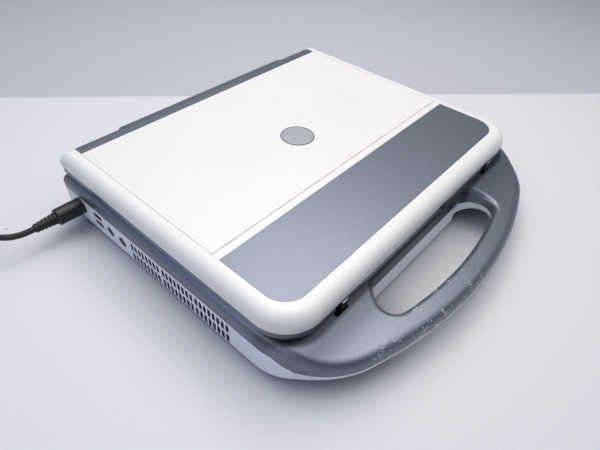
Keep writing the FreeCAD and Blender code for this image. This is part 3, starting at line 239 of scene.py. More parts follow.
def chips_group():
    """Small flecks where paint has chipped, in clusters, strongest where the zone is 1."""
    group, given, out = new_group(
        "chips", [("Vector", None), ("Zone", 1.0), ("Scale", 540.0), ("Cluster Scale", 90.0)], ["Mask"])
    flecks = scaled_noise(group, given["Vector"], given["Scale"], 3.0, 0.65)
    clusters = scaled_noise(group, given["Vector"], given["Cluster Scale"], 1.0)
    crowded = spread(group, clusters, -0.06, 0.06, 0.42, 0.60)
    sharp = spread(group, maths(group, "ADD", flecks, crowded), 0.0, 1.0, 0.615, 0.635)
    group.links.new(product(group, sharp, given["Zone"]), out["Mask"])
    return group


def handling_group():
    """Traces of use: soft smudges, and fine scratches in two directions."""
    group, given, out = new_group(
        "handling", [("Vector", None), ("Smudge Scale", 9.0)], ["Smudge", "Scratch"])
    cloud = scaled_noise(group, given["Vector"], given["Smudge Scale"], 4.0, 0.6)
    group.links.new(spread(group, cloud, 0.0, 1.0, 0.52, 0.72), out["Smudge"])
    lines = []
    for turn in SCRATCH_TURNS:
        along = placed(group, given["Vector"], Rotation=(0, 0, turn), Scale=SCRATCH_SCALE)
        lines.append(spread(group, noise(group, along, 1.0, 1.0), 0.0, 1.0, 0.70, 0.74))
    group.links.new(maths(group, "MAXIMUM", *lines), out["Scratch"])
    return group


def use_group(tree, group, coords, **values):
    node = add(tree, "ShaderNodeGroup", node_tree=group)
    tree.links.new(coords, node.inputs["Vector"])
    for label, value in values.items():
        label = label.replace("_", " ").title()
        if isinstance(value, (int, float)):
            node.inputs[label].default_value = value
        else:
            tree.links.new(value, node.inputs[label])
    return node.outputs


# ---------------------------------------------------------------- materials
CASE_WHITE = (0.79, 0.82, 0.86)
# Painted shade: near black on the cut sides of the side vents' slots.
VENT_SHADE = (0.012, 0.013, 0.017)
LID_SHADES = ((0.815, 0.785, 0.748), (0.845, 0.82, 0.783))
LID_SMUDGE = (0.74, 0.73, 0.72)
LID_SCRATCH = (0.66, 0.65, 0.64)
SEAM_DIRT = (0.42, 0.34, 0.29)
SLATE = (0.181, 0.200, 0.244)
# Painted shadow of the lid on the deck, near black.
SLATE_SHADOW = (0.018, 0.021, 0.028)
BARE_PLASTIC = (0.80, 0.80, 0.79)
SILVER_SHADES = ((0.40, 0.41, 0.46), (0.47, 0.48, 0.53))
BOARD_SHADES = ((0.018, 0.095, 0.045), (0.05, 0.21, 0.10))
SOLDER = (0.55, 0.55, 0.52)
RUBBER_SHADES = ((0.008, 0.009, 0.013), (0.017, 0.019, 0.025))
# Near-black tones of the sheet that paints shade behind the side vents.
SHADE_SHEET_TONES = ((0.002, 0.002, 0.003), (0.010, 0.011, 0.014))

# Soft edges of the worn zone and of the painted-shade zones, in mm: a rise and a fall, each with its start
# and its end.
VENT_X = ((-176.96, -176.85), (-172.5, -172.0))
VENT_Y = ((-59.0, -58.0), (67.2, 67.8))
VENT_Z = ((6.4, 6.9), (28.6, 29.0))
CHIPS_X = ((-138.0, -104.0), (-22.0, 6.0))
# Edges of the band of painted shadow round the lid's front, in mm from its outline.
LID_SHADOW_EDGES = ((-6.0, -1.0), (1.5, 5.0))


def moulded(effects, name, colour, rough, fine=2200.0, depth=0.02, shift=0.03, coat=0.0, wear=0.0):
    """Moulded plastic: faint cloudy colour, a fine skin texture, uneven gloss and light handling marks."""
    material, tree, shader = new_material(name)
    coords = object_coords(tree)
    grain = use_group(tree, effects["grain"], coords, fine_scale=fine)
    marks = use_group(tree, effects["handling"], coords)
    base = mix_colour(tree, grain["Cloud"], tint(colour, 1 - shift), tint(colour, 1 + shift))
    worn = spread(tree, marks["Scratch"], 0.0, wear)
    tree.links.new(mix_colour(tree, worn, base, tint(colour, 1.25)), shader.inputs["Base Color"])
    gloss = spread(tree, grain["Cloud"], rough - 0.04, rough + 0.05)
    dull = product(tree, marks["Smudge"], 0.06)
    tree.links.new(maths(tree, "ADD", gloss, dull), shader.inputs["Roughness"])
    shader.inputs["Coat Weight"].default_value = coat
    bump(tree, shader, grain["Fine"], 0.25, depth * MM)
    return material


def vent_shade_zone(tree, coords):
    """1 on the cut sides of the side vents' slots, where shade is painted; 0 on the wall's outer face."""
    x, y, z = axes(tree, coords)
    return product(tree, within(tree, x, *VENT_X), within(tree, y, *VENT_Y), within(tree, z, *VENT_Z))


def case_white(effects):
    """Pale bluish moulded plastic, with shade painted near black inside the vents."""
    material, tree, shader = new_material("case_white")
    coords = object_coords(tree)
    grain = use_group(tree, effects["grain"], coords)
    marks = use_group(tree, effects["handling"], coords)
    base = mix_colour(tree, grain["Cloud"], tint(CASE_WHITE, 0.97), tint(CASE_WHITE, 1.03))
    rubbed = mix_colour(tree, product(tree, marks["Smudge"], 0.15), base, tint(CASE_WHITE, 0.85))
    # Painted shade: the cut sides of the vent slots turn near black; the slot walls are also rougher.
    inside = vent_shade_zone(tree, coords)
    tree.links.new(mix_colour(tree, inside, rubbed, VENT_SHADE), shader.inputs["Base Color"])
    gloss = spread(tree, grain["Cloud"], 0.38, 0.47)
    slot_dull = product(tree, inside, 0.3)
    tree.links.new(maths(tree, "ADD", gloss, slot_dull), shader.inputs["Roughness"])
    bump(tree, shader, grain["Fine"], 0.25, 0.02 * MM)
    return material


def seam_lines(tree, coords):
    """Where dirt has settled round the lid's centre panel: most at its front edge."""
    x, y, _ = axes(tree, coords)
    from_middle = maths(tree, "ABSOLUTE", x)
    across = spread(tree, from_middle, 1.0, 0.0, INLAY_X, INLAY_X + 0.2 * MM)
    front = maths(tree, "ABSOLUTE", maths(tree, "SUBTRACT", y, CENTRE_Y))
    front_line = product(tree, spread(tree, front, 1.0, 0.0, 0.2 * MM, 0.75 * MM), across)
    side = maths(tree, "ABSOLUTE", maths(tree, "SUBTRACT", from_middle, INLAY_X))
    behind = spread(tree, y, 0.0, 1.0, CENTRE_Y - 0.2 * MM, CENTRE_Y)
    side_line = product(tree, spread(tree, side, 0.5, 0.0, 0.2 * MM, 0.6 * MM), behind)
    return maths(tree, "MAXIMUM", front_line, side_line)


def lid_white(effects):
    """Glossy warm white with smudges, a few scratches and dirt in the panel's seam."""
    material, tree, shader = new_material("lid_white")
    coords = object_coords(tree)
    grain = use_group(tree, effects["grain"], coords, fine_scale=1500.0, cloud_scale=14.0)
    marks = use_group(tree, effects["handling"], coords, smudge_scale=11.0)
    base = mix_colour(tree, grain["Cloud"], *LID_SHADES)
    smudged = mix_colour(tree, product(tree, marks["Smudge"], 0.22), base, LID_SMUDGE)
    scratched = mix_colour(tree, product(tree, marks["Scratch"], 0.12), smudged, LID_SCRATCH)
    uneven = spread(tree, noise(tree, coords, 60.0, 2.0), 0.35, 1.0, 0.35, 0.6)
    dirt = product(tree, seam_lines(tree, coords), uneven)
    tree.links.new(mix_colour(tree, dirt, scratched, SEAM_DIRT), shader.inputs["Base Color"])
    gloss = spread(tree, grain["Cloud"], 0.27, 0.36)
    dull = product(tree, marks["Smudge"], 0.08)
    tree.links.new(maths(tree, "ADD", gloss, dull), shader.inputs["Roughness"])
    bump(tree, shader, grain["Fine"], 0.2, 0.01 * MM)
    return material


def handle_zone(tree, coords):
    """1 on the handle's outer edge and on its side of the finger hole, left of the middle."""
    from_centre = placed(tree, coords, Location=(0.0, -ARC_Y, 0.0), Scale=(1.0, 1.0, 0.0))
    reach = add(tree, "ShaderNodeVectorMath", operation="LENGTH")
    tree.links.new(from_centre, reach.inputs[0])
    radius = reach.outputs["Value"]
    x, y, z = axes(tree, coords)
    outer = spread(tree, radius, 0.0, 1.0, OUTER_R - 7.5 * MM, OUTER_R - 4.0 * MM)
    hole = spread(tree, radius, 1.0, 0.0, HOLE_R + 4.0 * MM, HOLE_R + 6.0 * MM)
    past_hole_end = spread(tree, x, 0.0, 1.0, -90 * MM, -76 * MM)
    band = maths(tree, "MAXIMUM", outer, product(tree, hole, past_hole_end))
    along = within(tree, x, *CHIPS_X)
    front = spread(tree, y, 1.0, 0.0, -130 * MM, -124 * MM)
    above = spread(tree, z, 0.0, 1.0, 21 * MM, 24 * MM)
    return product(tree, band, along, front, above)


def past_corner(tree, source, half):
    """How far a place lies beyond the point at which the lid's side turns into its corner, at least 0."""
    past = maths(tree, "SUBTRACT", maths(tree, "ABSOLUTE", source), half - LID_CORNER)
    return maths(tree, "MAXIMUM", past, 0.0)


def lid_shadow_band(tree, coords):
    """1 on the deck along the lid's front edge and front corners, where the lid's shadow is painted."""
    x, y, z = axes(tree, coords)
    past_x = past_corner(tree, x, LID_HALF)
    past_y = past_corner(tree, maths(tree, "SUBTRACT", y, LID_MIDDLE_Y), LID_HALF_DEPTH)
    squares = maths(tree, "ADD", product(tree, past_x, past_x), product(tree, past_y, past_y))
    outside = maths(tree, "SUBTRACT", maths(tree, "SQRT", squares), LID_CORNER)
    front = spread(tree, y, 1.0, 0.0, -98 * MM, -72 * MM)
    deck = spread(tree, z, 1.0, 0.0, DECK_Z + 0.5 * MM, DECK_Z + 1 * MM)
    return product(tree, within(tree, outside, *LID_SHADOW_EDGES), front, deck)


def slate_paint(effects):
    """Grey-blue paint with metal flake, chipped to the pale plastic along the handle, with the lid's shadow
    painted on the deck.
    """
    material, tree, shader = new_material("slate_paint")
    coords = object_coords(tree)
    flakes = noise(tree, coords, 1100.0, 2.0, 0.7)
    marks = use_group(tree, effects["handling"], coords, smudge_scale=7.0)
    chips = use_group(tree, effects["chips"], coords, zone=handle_zone(tree, coords))["Mask"]
    paint = mix_colour(tree, spread(tree, flakes, 0, 1, 0.3, 0.7), tint(SLATE, 0.86), tint(SLATE, 1.15))
    rubbed = mix_colour(tree, product(tree, marks["Scratch"], 0.25), paint, tint(SLATE, 1.6))
    # Painted shadow: the deck turns near black in a band along the lid's front edge.
    shadowed = mix_colour(tree, product(tree, lid_shadow_band(tree, coords), 0.85), rubbed, SLATE_SHADOW)
    tree.links.new(mix_colour(tree, chips, shadowed, BARE_PLASTIC), shader.inputs["Base Color"])
    tree.links.new(spread(tree, chips, 0.75, 0.0), shader.inputs["Metallic"])
    gloss = spread(tree, flakes, 0.34, 0.45, 0.3, 0.7)
    dull = product(tree, marks["Smudge"], 0.05)
    tree.links.new(maths(tree, "ADD", gloss, dull), shader.inputs["Roughness"])
    height = maths(tree, "SUBTRACT", flakes, product(tree, chips, 2.0))
    bump(tree, shader, height, 0.12, 0.05 * MM)
    return material


def silver_paint():
    """Pale paint with metal flake."""
    material, tree, shader = new_material("silver_paint")
    coords = object_coords(tree)
    flakes = noise(tree, coords, 1400.0, 2.0, 0.7)
    tree.links.new(mix_colour(tree, flakes, *SILVER_SHADES), shader.inputs["Base Color"])
    tree.links.new(spread(tree, flakes, 0.32, 0.44), shader.inputs["Roughness"])
    shader.inputs["Metallic"].default_value = 0.7
    bump(tree, shader, flakes, 0.08, 0.04 * MM)
    return material


def brushed(name, colour, rough, stretch=(40.0, 40.0, 2500.0)):
    """Rolled or drawn metal with fine lines."""
    material, tree, shader = new_material(name)
    lines = noise(tree, placed(tree, object_coords(tree), Scale=stretch), 1.0, 3.0)
    tree.links.new(mix_colour(tree, lines, tint(colour, 0.85), colour), shader.inputs["Base Color"])
    tree.links.new(spread(tree, lines, rough - 0.07, rough + 0.1), shader.inputs["Roughness"])
    shader.inputs["Metallic"].default_value = 1.0
    bump(tree, shader, lines, 0.1, 0.02 * MM)
    return material


def circuit_board(effects):
    """Green board with paler tracks and soldered pads."""
    material, tree, shader = new_material("circuit_board")
    coords = object_coords(tree)
    cells = add(tree, "ShaderNodeTexBrick", Scale=180.0)
    cells.inputs["Mortar Size"].default_value = 0.06
    tree.links.new(coords, cells.inputs["Vector"])
    tracks = spread(tree, cells.outputs["Fac"], 0.0, 0.6)
    green = mix_colour(tree, tracks, *BOARD_SHADES)
    pads = spread(tree, noise(tree, coords, 420.0, 1.0), 0.0, 1.0, 0.70, 0.72)
    tree.links.new(mix_colour(tree, pads, green, SOLDER), shader.inputs["Base Color"])
    grain = use_group(tree, effects["grain"], coords, fine_scale=900.0)
    tree.links.new(spread(tree, grain["Fine"], 0.32, 0.46), shader.inputs["Roughness"])
    bump(tree, shader, tracks, 0.2, 0.02 * MM)
    return material


def rubber(effects):
    """Black rubber with a chalky bloom and a fine skin."""
    material, tree, shader = new_material("black_rubber")
    coords = object_coords(tree)
    grain = use_group(tree, effects["grain"], coords, fine_scale=2600.0, cloud_scale=60.0)
    bloom = spread(tree, grain["Cloud"], 0.0, 1.0, 0.45, 0.75)
    tree.links.new(mix_colour(tree, bloom, *RUBBER_SHADES), shader.inputs["Base Color"])
    tree.links.new(spread(tree, grain["Cloud"], 0.46, 0.62), shader.inputs["Roughness"])
    bump(tree, shader, grain["Fine"], 0.3, 0.03 * MM)
    return material


def dark_mesh():
    """Black fine woven mesh: a dark sheet standing in for the shade inside the case behind the side vents.
    """
    material, tree, shader = new_material("dark_mesh")
    coords = object_coords(tree)
    holes = add(tree, "ShaderNodeTexVoronoi", Scale=1500.0)
    tree.links.new(coords, holes.inputs["Vector"])
    threads = spread(tree, holes.outputs["Distance"], 0.0, 1.0, 0.1, 0.6)
    tree.links.new(mix_colour(tree, threads, *SHADE_SHEET_TONES), shader.inputs["Base Color"])
    tree.links.new(spread(tree, threads, 0.9, 0.7), shader.inputs["Roughness"])
    bump(tree, shader, threads, 0.5, 0.1 * MM)
    return material


def make_materials():
    """One material for each slot of the record, laid on the nodes, and besides that the dark mesh of the
    sheet that paints shade behind the side vents.
    """
    effects = {"grain": grain_group(), "chips": chips_group(), "handling": handling_group()}
    table = {
        "lid_white": lid_white(effects),
        "case_white": case_white(effects),
        "slate_paint": slate_paint(effects),
        "silver_paint": silver_paint(),
        "dark_plastic": moulded(effects, "dark_plastic", (0.018, 0.018, 0.021), 0.5, wear=0.3),
        "black_gloss": moulded(effects, "black_gloss", (0.010, 0.010, 0.014), 0.30, depth=0.01, wear=0.4),
        "black_rubber": rubber(effects),
        "steel": brushed("steel", (0.6, 0.6, 0.6), 0.3),
        "dark_steel": brushed("dark_steel", (0.10, 0.10, 0.11), 0.42),
        "aluminium": brushed("aluminium", (0.7, 0.7, 0.72), 0.35),
        "circuit_board": circuit_board(effects),
        "key_plastic": moulded(effects, "key_plastic", (0.040, 0.044, 0.056), 0.46, fine=1600.0, depth=0.04),
        "pad_plastic": moulded(effects, "pad_plastic", (0.12, 0.135, 0.17), 0.40, fine=3000.0, depth=0.03),
        "light_lens": moulded(effects, "light_lens", (0.10, 0.42, 0.20), 0.18, depth=0.005),
        "screen": moulded(effects, "screen", (0.010, 0.011, 0.015), 0.12, depth=0.002, coat=0.5),
    }
    for part in frame["record"]["subparts"]:
        thing = nodes[part["node"]]
        thing.data.materials.clear()
        thing.data.materials.append(table[part["material_slot"]])
    table["dark_mesh"] = dark_mesh()
    return table


# ---------------------------------------------------------------- piece helpers
CREASE = math.radians(35.0)   # sharper edges than this stay sharp


def finish_piece(name, shape, material, body):
    """Puts a finished mesh in the scene, smooth but for its creases, and lets it ride on a body."""
    bmesh.ops.remove_doubles(shape, verts=shape.verts, dist=0.001 * MM)
    bmesh.ops.recalc_face_normals(shape, faces=shape.faces)
    for side in shape.faces:
        side.smooth = True
    for edge in shape.edges:
        if len(edge.link_faces) == 2 and edge.calc_face_angle() > CREASE:
            edge.smooth = False
    mesh = bpy.data.meshes.new(name)
    shape.to_mesh(mesh)
    shape.free()
    piece = bpy.data.objects.new(name, mesh)
    bpy.context.scene.collection.objects.link(piece)
    mesh.materials.append(material)
    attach(piece, body)
    return piece


def edges_of(verts):
    """The edges at some vertices, each once and in a fixed order."""
    return list(dict.fromkeys(e for v in verts for e in v.link_edges))


def block(shape, low, high, soften=0.3 * MM, segments=2):
    """A block between two corners with softened edges."""
    made = bmesh.ops.create_cube(shape, size=1.0)["verts"]
    size = [b - a for a, b in zip(low, high)]
    centre = [(a + b) / 2 for a, b in zip(low, high)]
    bmesh.ops.scale(shape, vec=size, verts=made)
    bmesh.ops.translate(shape, vec=centre, verts=made)
    bmesh.ops.bevel(shape, geom=edges_of(made), offset=soften, segments=segments, profile=0.5,
                    affect="EDGES", material=-1)


def hoop(shape, centre, radius, thick, steps=48):
    """A round wire bent into a flat ring.

    Its move to the centre takes along every vertex without a tag, and the operators change tags too, so
    it needs a shape of its own."""
    made = bmesh.ops.create_circle(shape, segments=12, radius=thick)["verts"]
    bmesh.ops.rotate(shape, cent=(0, 0, 0), matrix=Matrix.Rotation(math.pi / 2, 3, "X"), verts=made)
    bmesh.ops.translate(shape, vec=(radius, 0, 0), verts=made)
    bmesh.ops.spin(shape, geom=made + edges_of(made), cent=(0, 0, 0), axis=(0, 0, 1), angle=2 * math.pi,
                   steps=steps, use_merge=True)
    new = [v for v in shape.verts if not v.tag]
    bmesh.ops.translate(shape, vec=centre, verts=new)
    for v in new:
        v.tag = True


def frame_strip(shape, low, high, width, height, corner):
    """A flat rectangular frame lying on z = low[2], with round outer and inner corners."""
    made = bmesh.ops.create_grid(shape, x_segments=1, y_segments=1, size=0.5)["verts"]
    bmesh.ops.scale(shape, vec=(high[0] - low[0], high[1] - low[1], 1), verts=made)
    bmesh.ops.translate(shape, vec=((low[0] + high[0]) / 2, (low[1] + high[1]) / 2, low[2]), verts=made)
    bmesh.ops.bevel(shape, geom=made, offset=corner, segments=5, profile=0.5, affect="VERTICES", material=-1)
    sheet = list(shape.faces)
    bmesh.ops.inset_region(shape, faces=sheet, thickness=width, depth=0.0,
                           use_boundary=True, use_even_offset=True)
    bmesh.ops.delete(shape, geom=sheet, context="FACES")
    raised = bmesh.ops.extrude_face_region(shape, geom=list(shape.faces), use_keep_orig=True)["geom"]
    up = [g for g in raised if isinstance(g, bmesh.types.BMVert)]
    bmesh.ops.translate(shape, vec=(0, 0, height), verts=up)


# ---------------------------------------------------------------- keyboard
PITCH = 19.05 * MM
KEY_GAP = 1.2 * MM
KEY_LOW = 41.0 * MM
KEY_TOP = 45.0 * MM
KEYS_LEFT = -142.875 * MM
KEYS_FRONT = 12.5 * MM
FUNCTION_ROW_DEPTH = 13.0 * MM
CAP_TAPER = (1.3 * MM, 1.0 * MM)      # how far a cap draws in to its top, along X and Y
CAP_ROUNDING = 0.45 * MM
DISH = 0.45 * MM
SPACE_BAR_DISH = 0.05 * MM
MARKED_KEYS = (4, 7)                  # the home row's keys with a ridge for the forefingers


def keycap(shape, x0, x1, y0, y1, dish):
    """A cap that narrows to its top, with a finger dish."""
    before = set(shape.faces)
    made = bmesh.ops.create_cube(shape, size=1.0)["verts"]
    bmesh.ops.scale(shape, vec=(x1 - x0, y1 - y0, KEY_TOP - KEY_LOW), verts=made)
    bmesh.ops.translate(shape, vec=((x0 + x1) / 2, (y0 + y1) / 2, (KEY_LOW + KEY_TOP) / 2), verts=made)
    own = [f for f in shape.faces if f not in before]
    top = max(own, key=lambda f: f.calc_center_median().z)
    middle = top.calc_center_median()
    for v in top.verts:
        v.co.x += math.copysign(CAP_TAPER[0], middle.x - v.co.x)
        v.co.y += math.copysign(CAP_TAPER[1], middle.y - v.co.y)
    bmesh.ops.bevel(shape, geom=edges_of(top.verts), offset=CAP_ROUNDING, segments=2, profile=0.5,
                    affect="EDGES", material=-1)
    own = [f for f in shape.faces if f not in before]
    top = max(own, key=lambda f: f.calc_center_median().z)
    for inward, down in ((0.9 * MM, 0.10 * MM), (1.6 * MM, dish * 0.6), (2.0 * MM, dish * 0.3)):
        bmesh.ops.inset_region(shape, faces=[top], thickness=inward, depth=-down)


def key_rows():
    """Each run of keys: its node, widths and start in pitches, and front edge and depth in metres."""
    y = KEYS_FRONT
    rows = [("keys_modifier_row", [1.25] * 3, 0.0, y, PITCH),
            ("key_space_bar", [6.25], 3.75, y, PITCH),
            ("keys_modifier_row", [1.25] * 4, 10.0, y, PITCH)]
    letters = [("keys_lower_row", [2.25] + [1] * 10 + [2.75]),
               ("keys_home_row", [1.75] + [1] * 11 + [2.25]),
               ("keys_upper_row", [1.5] + [1] * 12 + [1.5]),
               ("keys_number_row", [1] * 13 + [2])]
    for name, widths in letters:
        y += PITCH
        rows.append((name, widths, 0.0, y, PITCH))
    rows.append(("keys_function_row", [1] * 15, 0.0, y + PITCH, FUNCTION_ROW_DEPTH))
    return rows


def finger_ridge(shape, x, y):
    """The low ridge by which a forefinger finds its key."""
    block(shape, (x - 1.8 * MM, y + 3.6 * MM, KEY_TOP - 0.5 * MM),
          (x + 1.8 * MM, y + 4.3 * MM, KEY_TOP - 0.02 * MM), 0.15 * MM)


def make_keys(materials):
    """Dished caps in place of the plain key rows."""
    shapes = {}
    half_gap = KEY_GAP / 2
    for name, widths, start, y, depth in key_rows():
        shape = shapes.setdefault(name, bmesh.new())
        dish = SPACE_BAR_DISH if name == "key_space_bar" else DISH
        x = KEYS_LEFT + start * PITCH
        for i, width in enumerate(widths):
            x1 = x + width * PITCH
            keycap(shape, x + half_gap, x1 - half_gap, y + half_gap, y + depth - half_gap, dish)
            if name == "keys_home_row" and i in MARKED_KEYS:
                finger_ridge(shape, (x + x1) / 2, y)
            x = x1
    for name, shape in shapes.items():
        caps = finish_piece("caps_" + name, shape, materials["key_plastic"], name)
        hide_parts(name)


# ---------------------------------------------------------------- small fittings, in mm
HOOKS_X = (-115.0, 120.0)
VENT_GROUPS_Y = (64.4, 22.0, -19.3)
BADGE = (0.0, 36.0)
BADGE_RING_R = 16.1
SCREW_HEAD_REACH = 7.0
BATTERY_LATCHES_X = (78.0, 152.0)
LATCH_RIBS = 5
RIB_STEP = 2.2
DOOR_SCREWS = ((-46, 50), (-110, 98), (-52, 18), (18, -38))
DOOR_SCREW_R = 2.6
POWER_BUTTON_Y = 135.5
POWER_RING_R = 7.9
ROUND_SOCKETS_Y = (98.9, 80.7)
ROUND_SOCKETS_Z = 18.0
PINS = 6
PIN_CIRCLE_R = 3.4
USB_Y = 117.5
USB_Z = (16.0, 24.5)
USB_STRIPS = 4
USB_STRIP_STEP = 2.5


def make_latch_plates(materials):
    """Polished plates on the fronts of the two latch hooks, under the lid's edge."""
    shape = bmesh.new()
    for x in HOOKS_X:
        block(shape, mm(x - 3.6, -113.4, 50.0), mm(x + 3.6, -112.7, 52.2), 0.25 * MM)
    finish_piece("latch_plates", shape, materials["steel"], "latch")


def make_vent_shade_sheet(materials):
    """Dark sheet behind the three groups of side vents: painted shade, so that the slots look black."""
    shape = bmesh.new()
    for y in VENT_GROUPS_Y:
        block(shape, mm(-175.95, y - 38.2, 6.4), mm(-175.45, y + 2.8, 29.0), 0.05 * MM, 1)
    finish_piece("vent_shade_sheet", shape, materials["dark_mesh"], "base")


def make_badge(materials):
    """Raised ring round the plain badge."""
    shape = bmesh.new()
    hoop(shape, (*mm(*BADGE), TOP_Z + 0.1 * MM), BADGE_RING_R * MM, 0.4 * MM, steps=72)
    finish_piece("badge_ring", shape, materials["dark_steel"], "lid")


def make_screen_gasket(materials):
    """Soft black strip round the visible screen."""
    shape = bmesh.new()
    frame_strip(shape, mm(-153.4, -95.9, 47.2), mm(153.4, 134.9, 47.2), 1.6 * MM, 1.0 * MM, 2.0 * MM)
    finish_piece("screen_gasket", shape, materials["black_rubber"], "lid")


def cross_recess(shape, x, y, z, size=3.2 * MM, thick=0.7 * MM, rise=0.06 * MM):
    """The cross of a screw head, a dark block standing in for the shade in its recess, a hair proud of its
    face towards -Z.
    """
    # Painted shade: a dark cross where the recess would lie in shade.
    for w, d in ((size, thick), (thick, size)):
        block(shape, (x - w / 2, y - d / 2, z - rise), (x + w / 2, y + d / 2, z + rise), 0.02 * MM, 1)


def node_heads(name):
    """The middle and the lowest z of each of a node's separate round heads."""
    heads = []
    for v in nodes[name].data.vertices:
        for head in heads:
            if math.hypot(v.co.x - head[0].x, v.co.y - head[0].y) < SCREW_HEAD_REACH * MM:
                head.append(v.co.copy())
                break
        else:
            heads.append([v.co.copy()])
    middles = []
    for head in heads:
        x = sum(place.x for place in head) / len(head)
        y = sum(place.y for place in head) / len(head)
        middles.append((x, y, min(place.z for place in head)))
    return middles


def make_screw_crosses(materials):
    for name, body in (("case_screws", "base"), ("lid_screws", "lid")):
        shape = bmesh.new()
        for x, y, z in node_heads(name):
            cross_recess(shape, x, y, z)
        finish_piece("crosses_" + name, shape, materials["dark_plastic"], body)


def make_battery_latches(materials):
    """The battery's two catches under the base, each ribbed for a fingertip."""
    shape = bmesh.new()
    for x in BATTERY_LATCHES_X:
        block(shape, mm(x - 9, 42.0, 1.7), mm(x + 9, 49.0, 2.7), 0.4 * MM)
        for i in range(LATCH_RIBS):
            rib = x + (i - (LATCH_RIBS - 1) / 2) * RIB_STEP
            block(shape, mm(rib - 0.5, 43.4, 1.25), mm(rib + 0.5, 47.6, 1.9), 0.2 * MM)
    finish_piece("battery_latches", shape, materials["dark_plastic"], "base")


def make_access_doors(materials):
    """Two doors under the base."""
    shape = bmesh.new()
    block(shape, (-118 * MM, 44 * MM, DOOR_Z), mm(-38, 104, 2.7), 0.5 * MM)
    block(shape, (-60 * MM, -44 * MM, DOOR_Z), mm(26, 24, 2.7), 0.5 * MM)
    finish_piece("access_doors", shape, materials["case_white"], "base")


def make_door_screws(materials):
    """A cross and a ring for each screw of the doors.

    Known fault: they share one shape, so each ring's move takes earlier bits along. Only the last ring
    and one bar of its cross sit at their screw, and three strays lie beside the lead."""
    shape = bmesh.new()
    for x, y in DOOR_SCREWS:
        cross_recess(shape, x * MM, y * MM, DOOR_Z)
        hoop(shape, (x * MM, y * MM, DOOR_Z), DOOR_SCREW_R * MM, 0.12 * MM, steps=24)
    finish_piece("door_screws", shape, materials["dark_steel"], "base")


def make_rating_plate(materials):
    """A bare plate under the base."""
    shape = bmesh.new()
    block(shape, mm(70, 82, 2.3), mm(140, 112, 2.6), 0.1 * MM)
    finish_piece("rating_plate", shape, materials["silver_paint"], "base")


def make_power_ring(materials):
    """Bright ring round the power button."""
    shape = bmesh.new()
    hoop(shape, (0.0, POWER_BUTTON_Y * MM, DECK_Z), POWER_RING_R * MM, 0.45 * MM)
    finish_piece("power_ring", shape, materials["steel"], "base")


def make_touchpad_frame(materials):
    """Thin dark frame round the touchpad."""
    shape = bmesh.new()
    frame_strip(shape, (-39.6 * MM, -57.1 * MM, DECK_Z - 0.1 * MM), (39.6 * MM, -7.9 * MM, DECK_Z),
                1.2 * MM, 0.3 * MM, 2.6 * MM)
    finish_piece("touchpad_frame", shape, materials["dark_plastic"], "base")


def make_socket_contacts(materials):
    """Contact pins in the round sockets and contact strips on the USB tongues."""
    shape = bmesh.new()
    for socket_y in ROUND_SOCKETS_Y:
        for i in range(PINS):
            angle = math.radians(360 / PINS * i + 30)
            y = socket_y + PIN_CIRCLE_R * math.cos(angle)
            z = ROUND_SOCKETS_Z + PIN_CIRCLE_R * math.sin(angle)
            block(shape, mm(-174.6, y - 0.25, z - 0.25), mm(-171.5, y + 0.25, z + 0.25), 0.08 * MM, 1)
    for z in USB_Z:
        for i in range(USB_STRIPS):
            y = USB_Y + (i - (USB_STRIPS - 1) / 2) * USB_STRIP_STEP
            block(shape, mm(-175.0, y - 0.5, z - 0.32), mm(-169.0, y + 0.5, z - 0.18), 0.02 * MM, 1)
    finish_piece("socket_contacts", shape, materials["steel"], "base")


def make_adapter_trim(materials):
    """The adapter's joint line and pilot light."""
    low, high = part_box("power_adapter")
    proud = 0.15 * MM
    middle_x = (low[0] + high[0]) / 2
    middle_z = (low[2] + high[2]) / 2
    shape = bmesh.new()
    frame_strip(shape, (low[0] - proud, low[1] - proud, middle_z - 0.25 * MM),
                (high[0] + proud, high[1] + proud, middle_z), 1.2 * MM, 0.5 * MM, 8.1 * MM)
    joint = finish_piece("adapter_joint", shape, materials["dark_plastic"], "base")
    shape = bmesh.new()
    block(shape, (middle_x - 2.5 * MM, low[1] + 14 * MM, high[2] - 0.3 * MM),
          (middle_x + 2.5 * MM, low[1] + 16 * MM, high[2] + proud), 0.2 * MM)
    light = finish_piece("adapter_light", shape, materials["light_lens"], "base")
    return [joint, light]


# ---------------------------------------------------------------- lead
CORD_R = 2.75 * MM
COIL = (-306.0 * MM, 247.5 * MM)
COIL_MID_R = 30.5 * MM
COIL_COLUMNS = 3
POINTS_PER_TURN = 16
RELIEF_END = (-222.3 * MM, 144.5 * MM, 22.5 * MM)
GLAND_END = (-330.0 * MM, 283.5 * MM, 8.25 * MM)
ROUTE = [
    RELIEF_END,
    (-0.2310, 0.1445, 0.0225),
    (-0.2397, 0.1472, 0.0232),
    (-0.2474, 0.1529, 0.0239),
    (-0.2552, 0.1640, 0.0232),
    (-0.2661, 0.1862, 0.0160),
    (-0.2706, 0.2168, 0.0065),
]
TIE_ANGLE = -0.9              # radians round the coil, on the side away from the adapter
TIE_SIZE = mm(19.5, 9.0, 12.4)
TIE_MIDDLE_Z = 6.25 * MM
TIE_ROUNDING = 3.4 * MM
TIE_WALL = 0.7 * MM


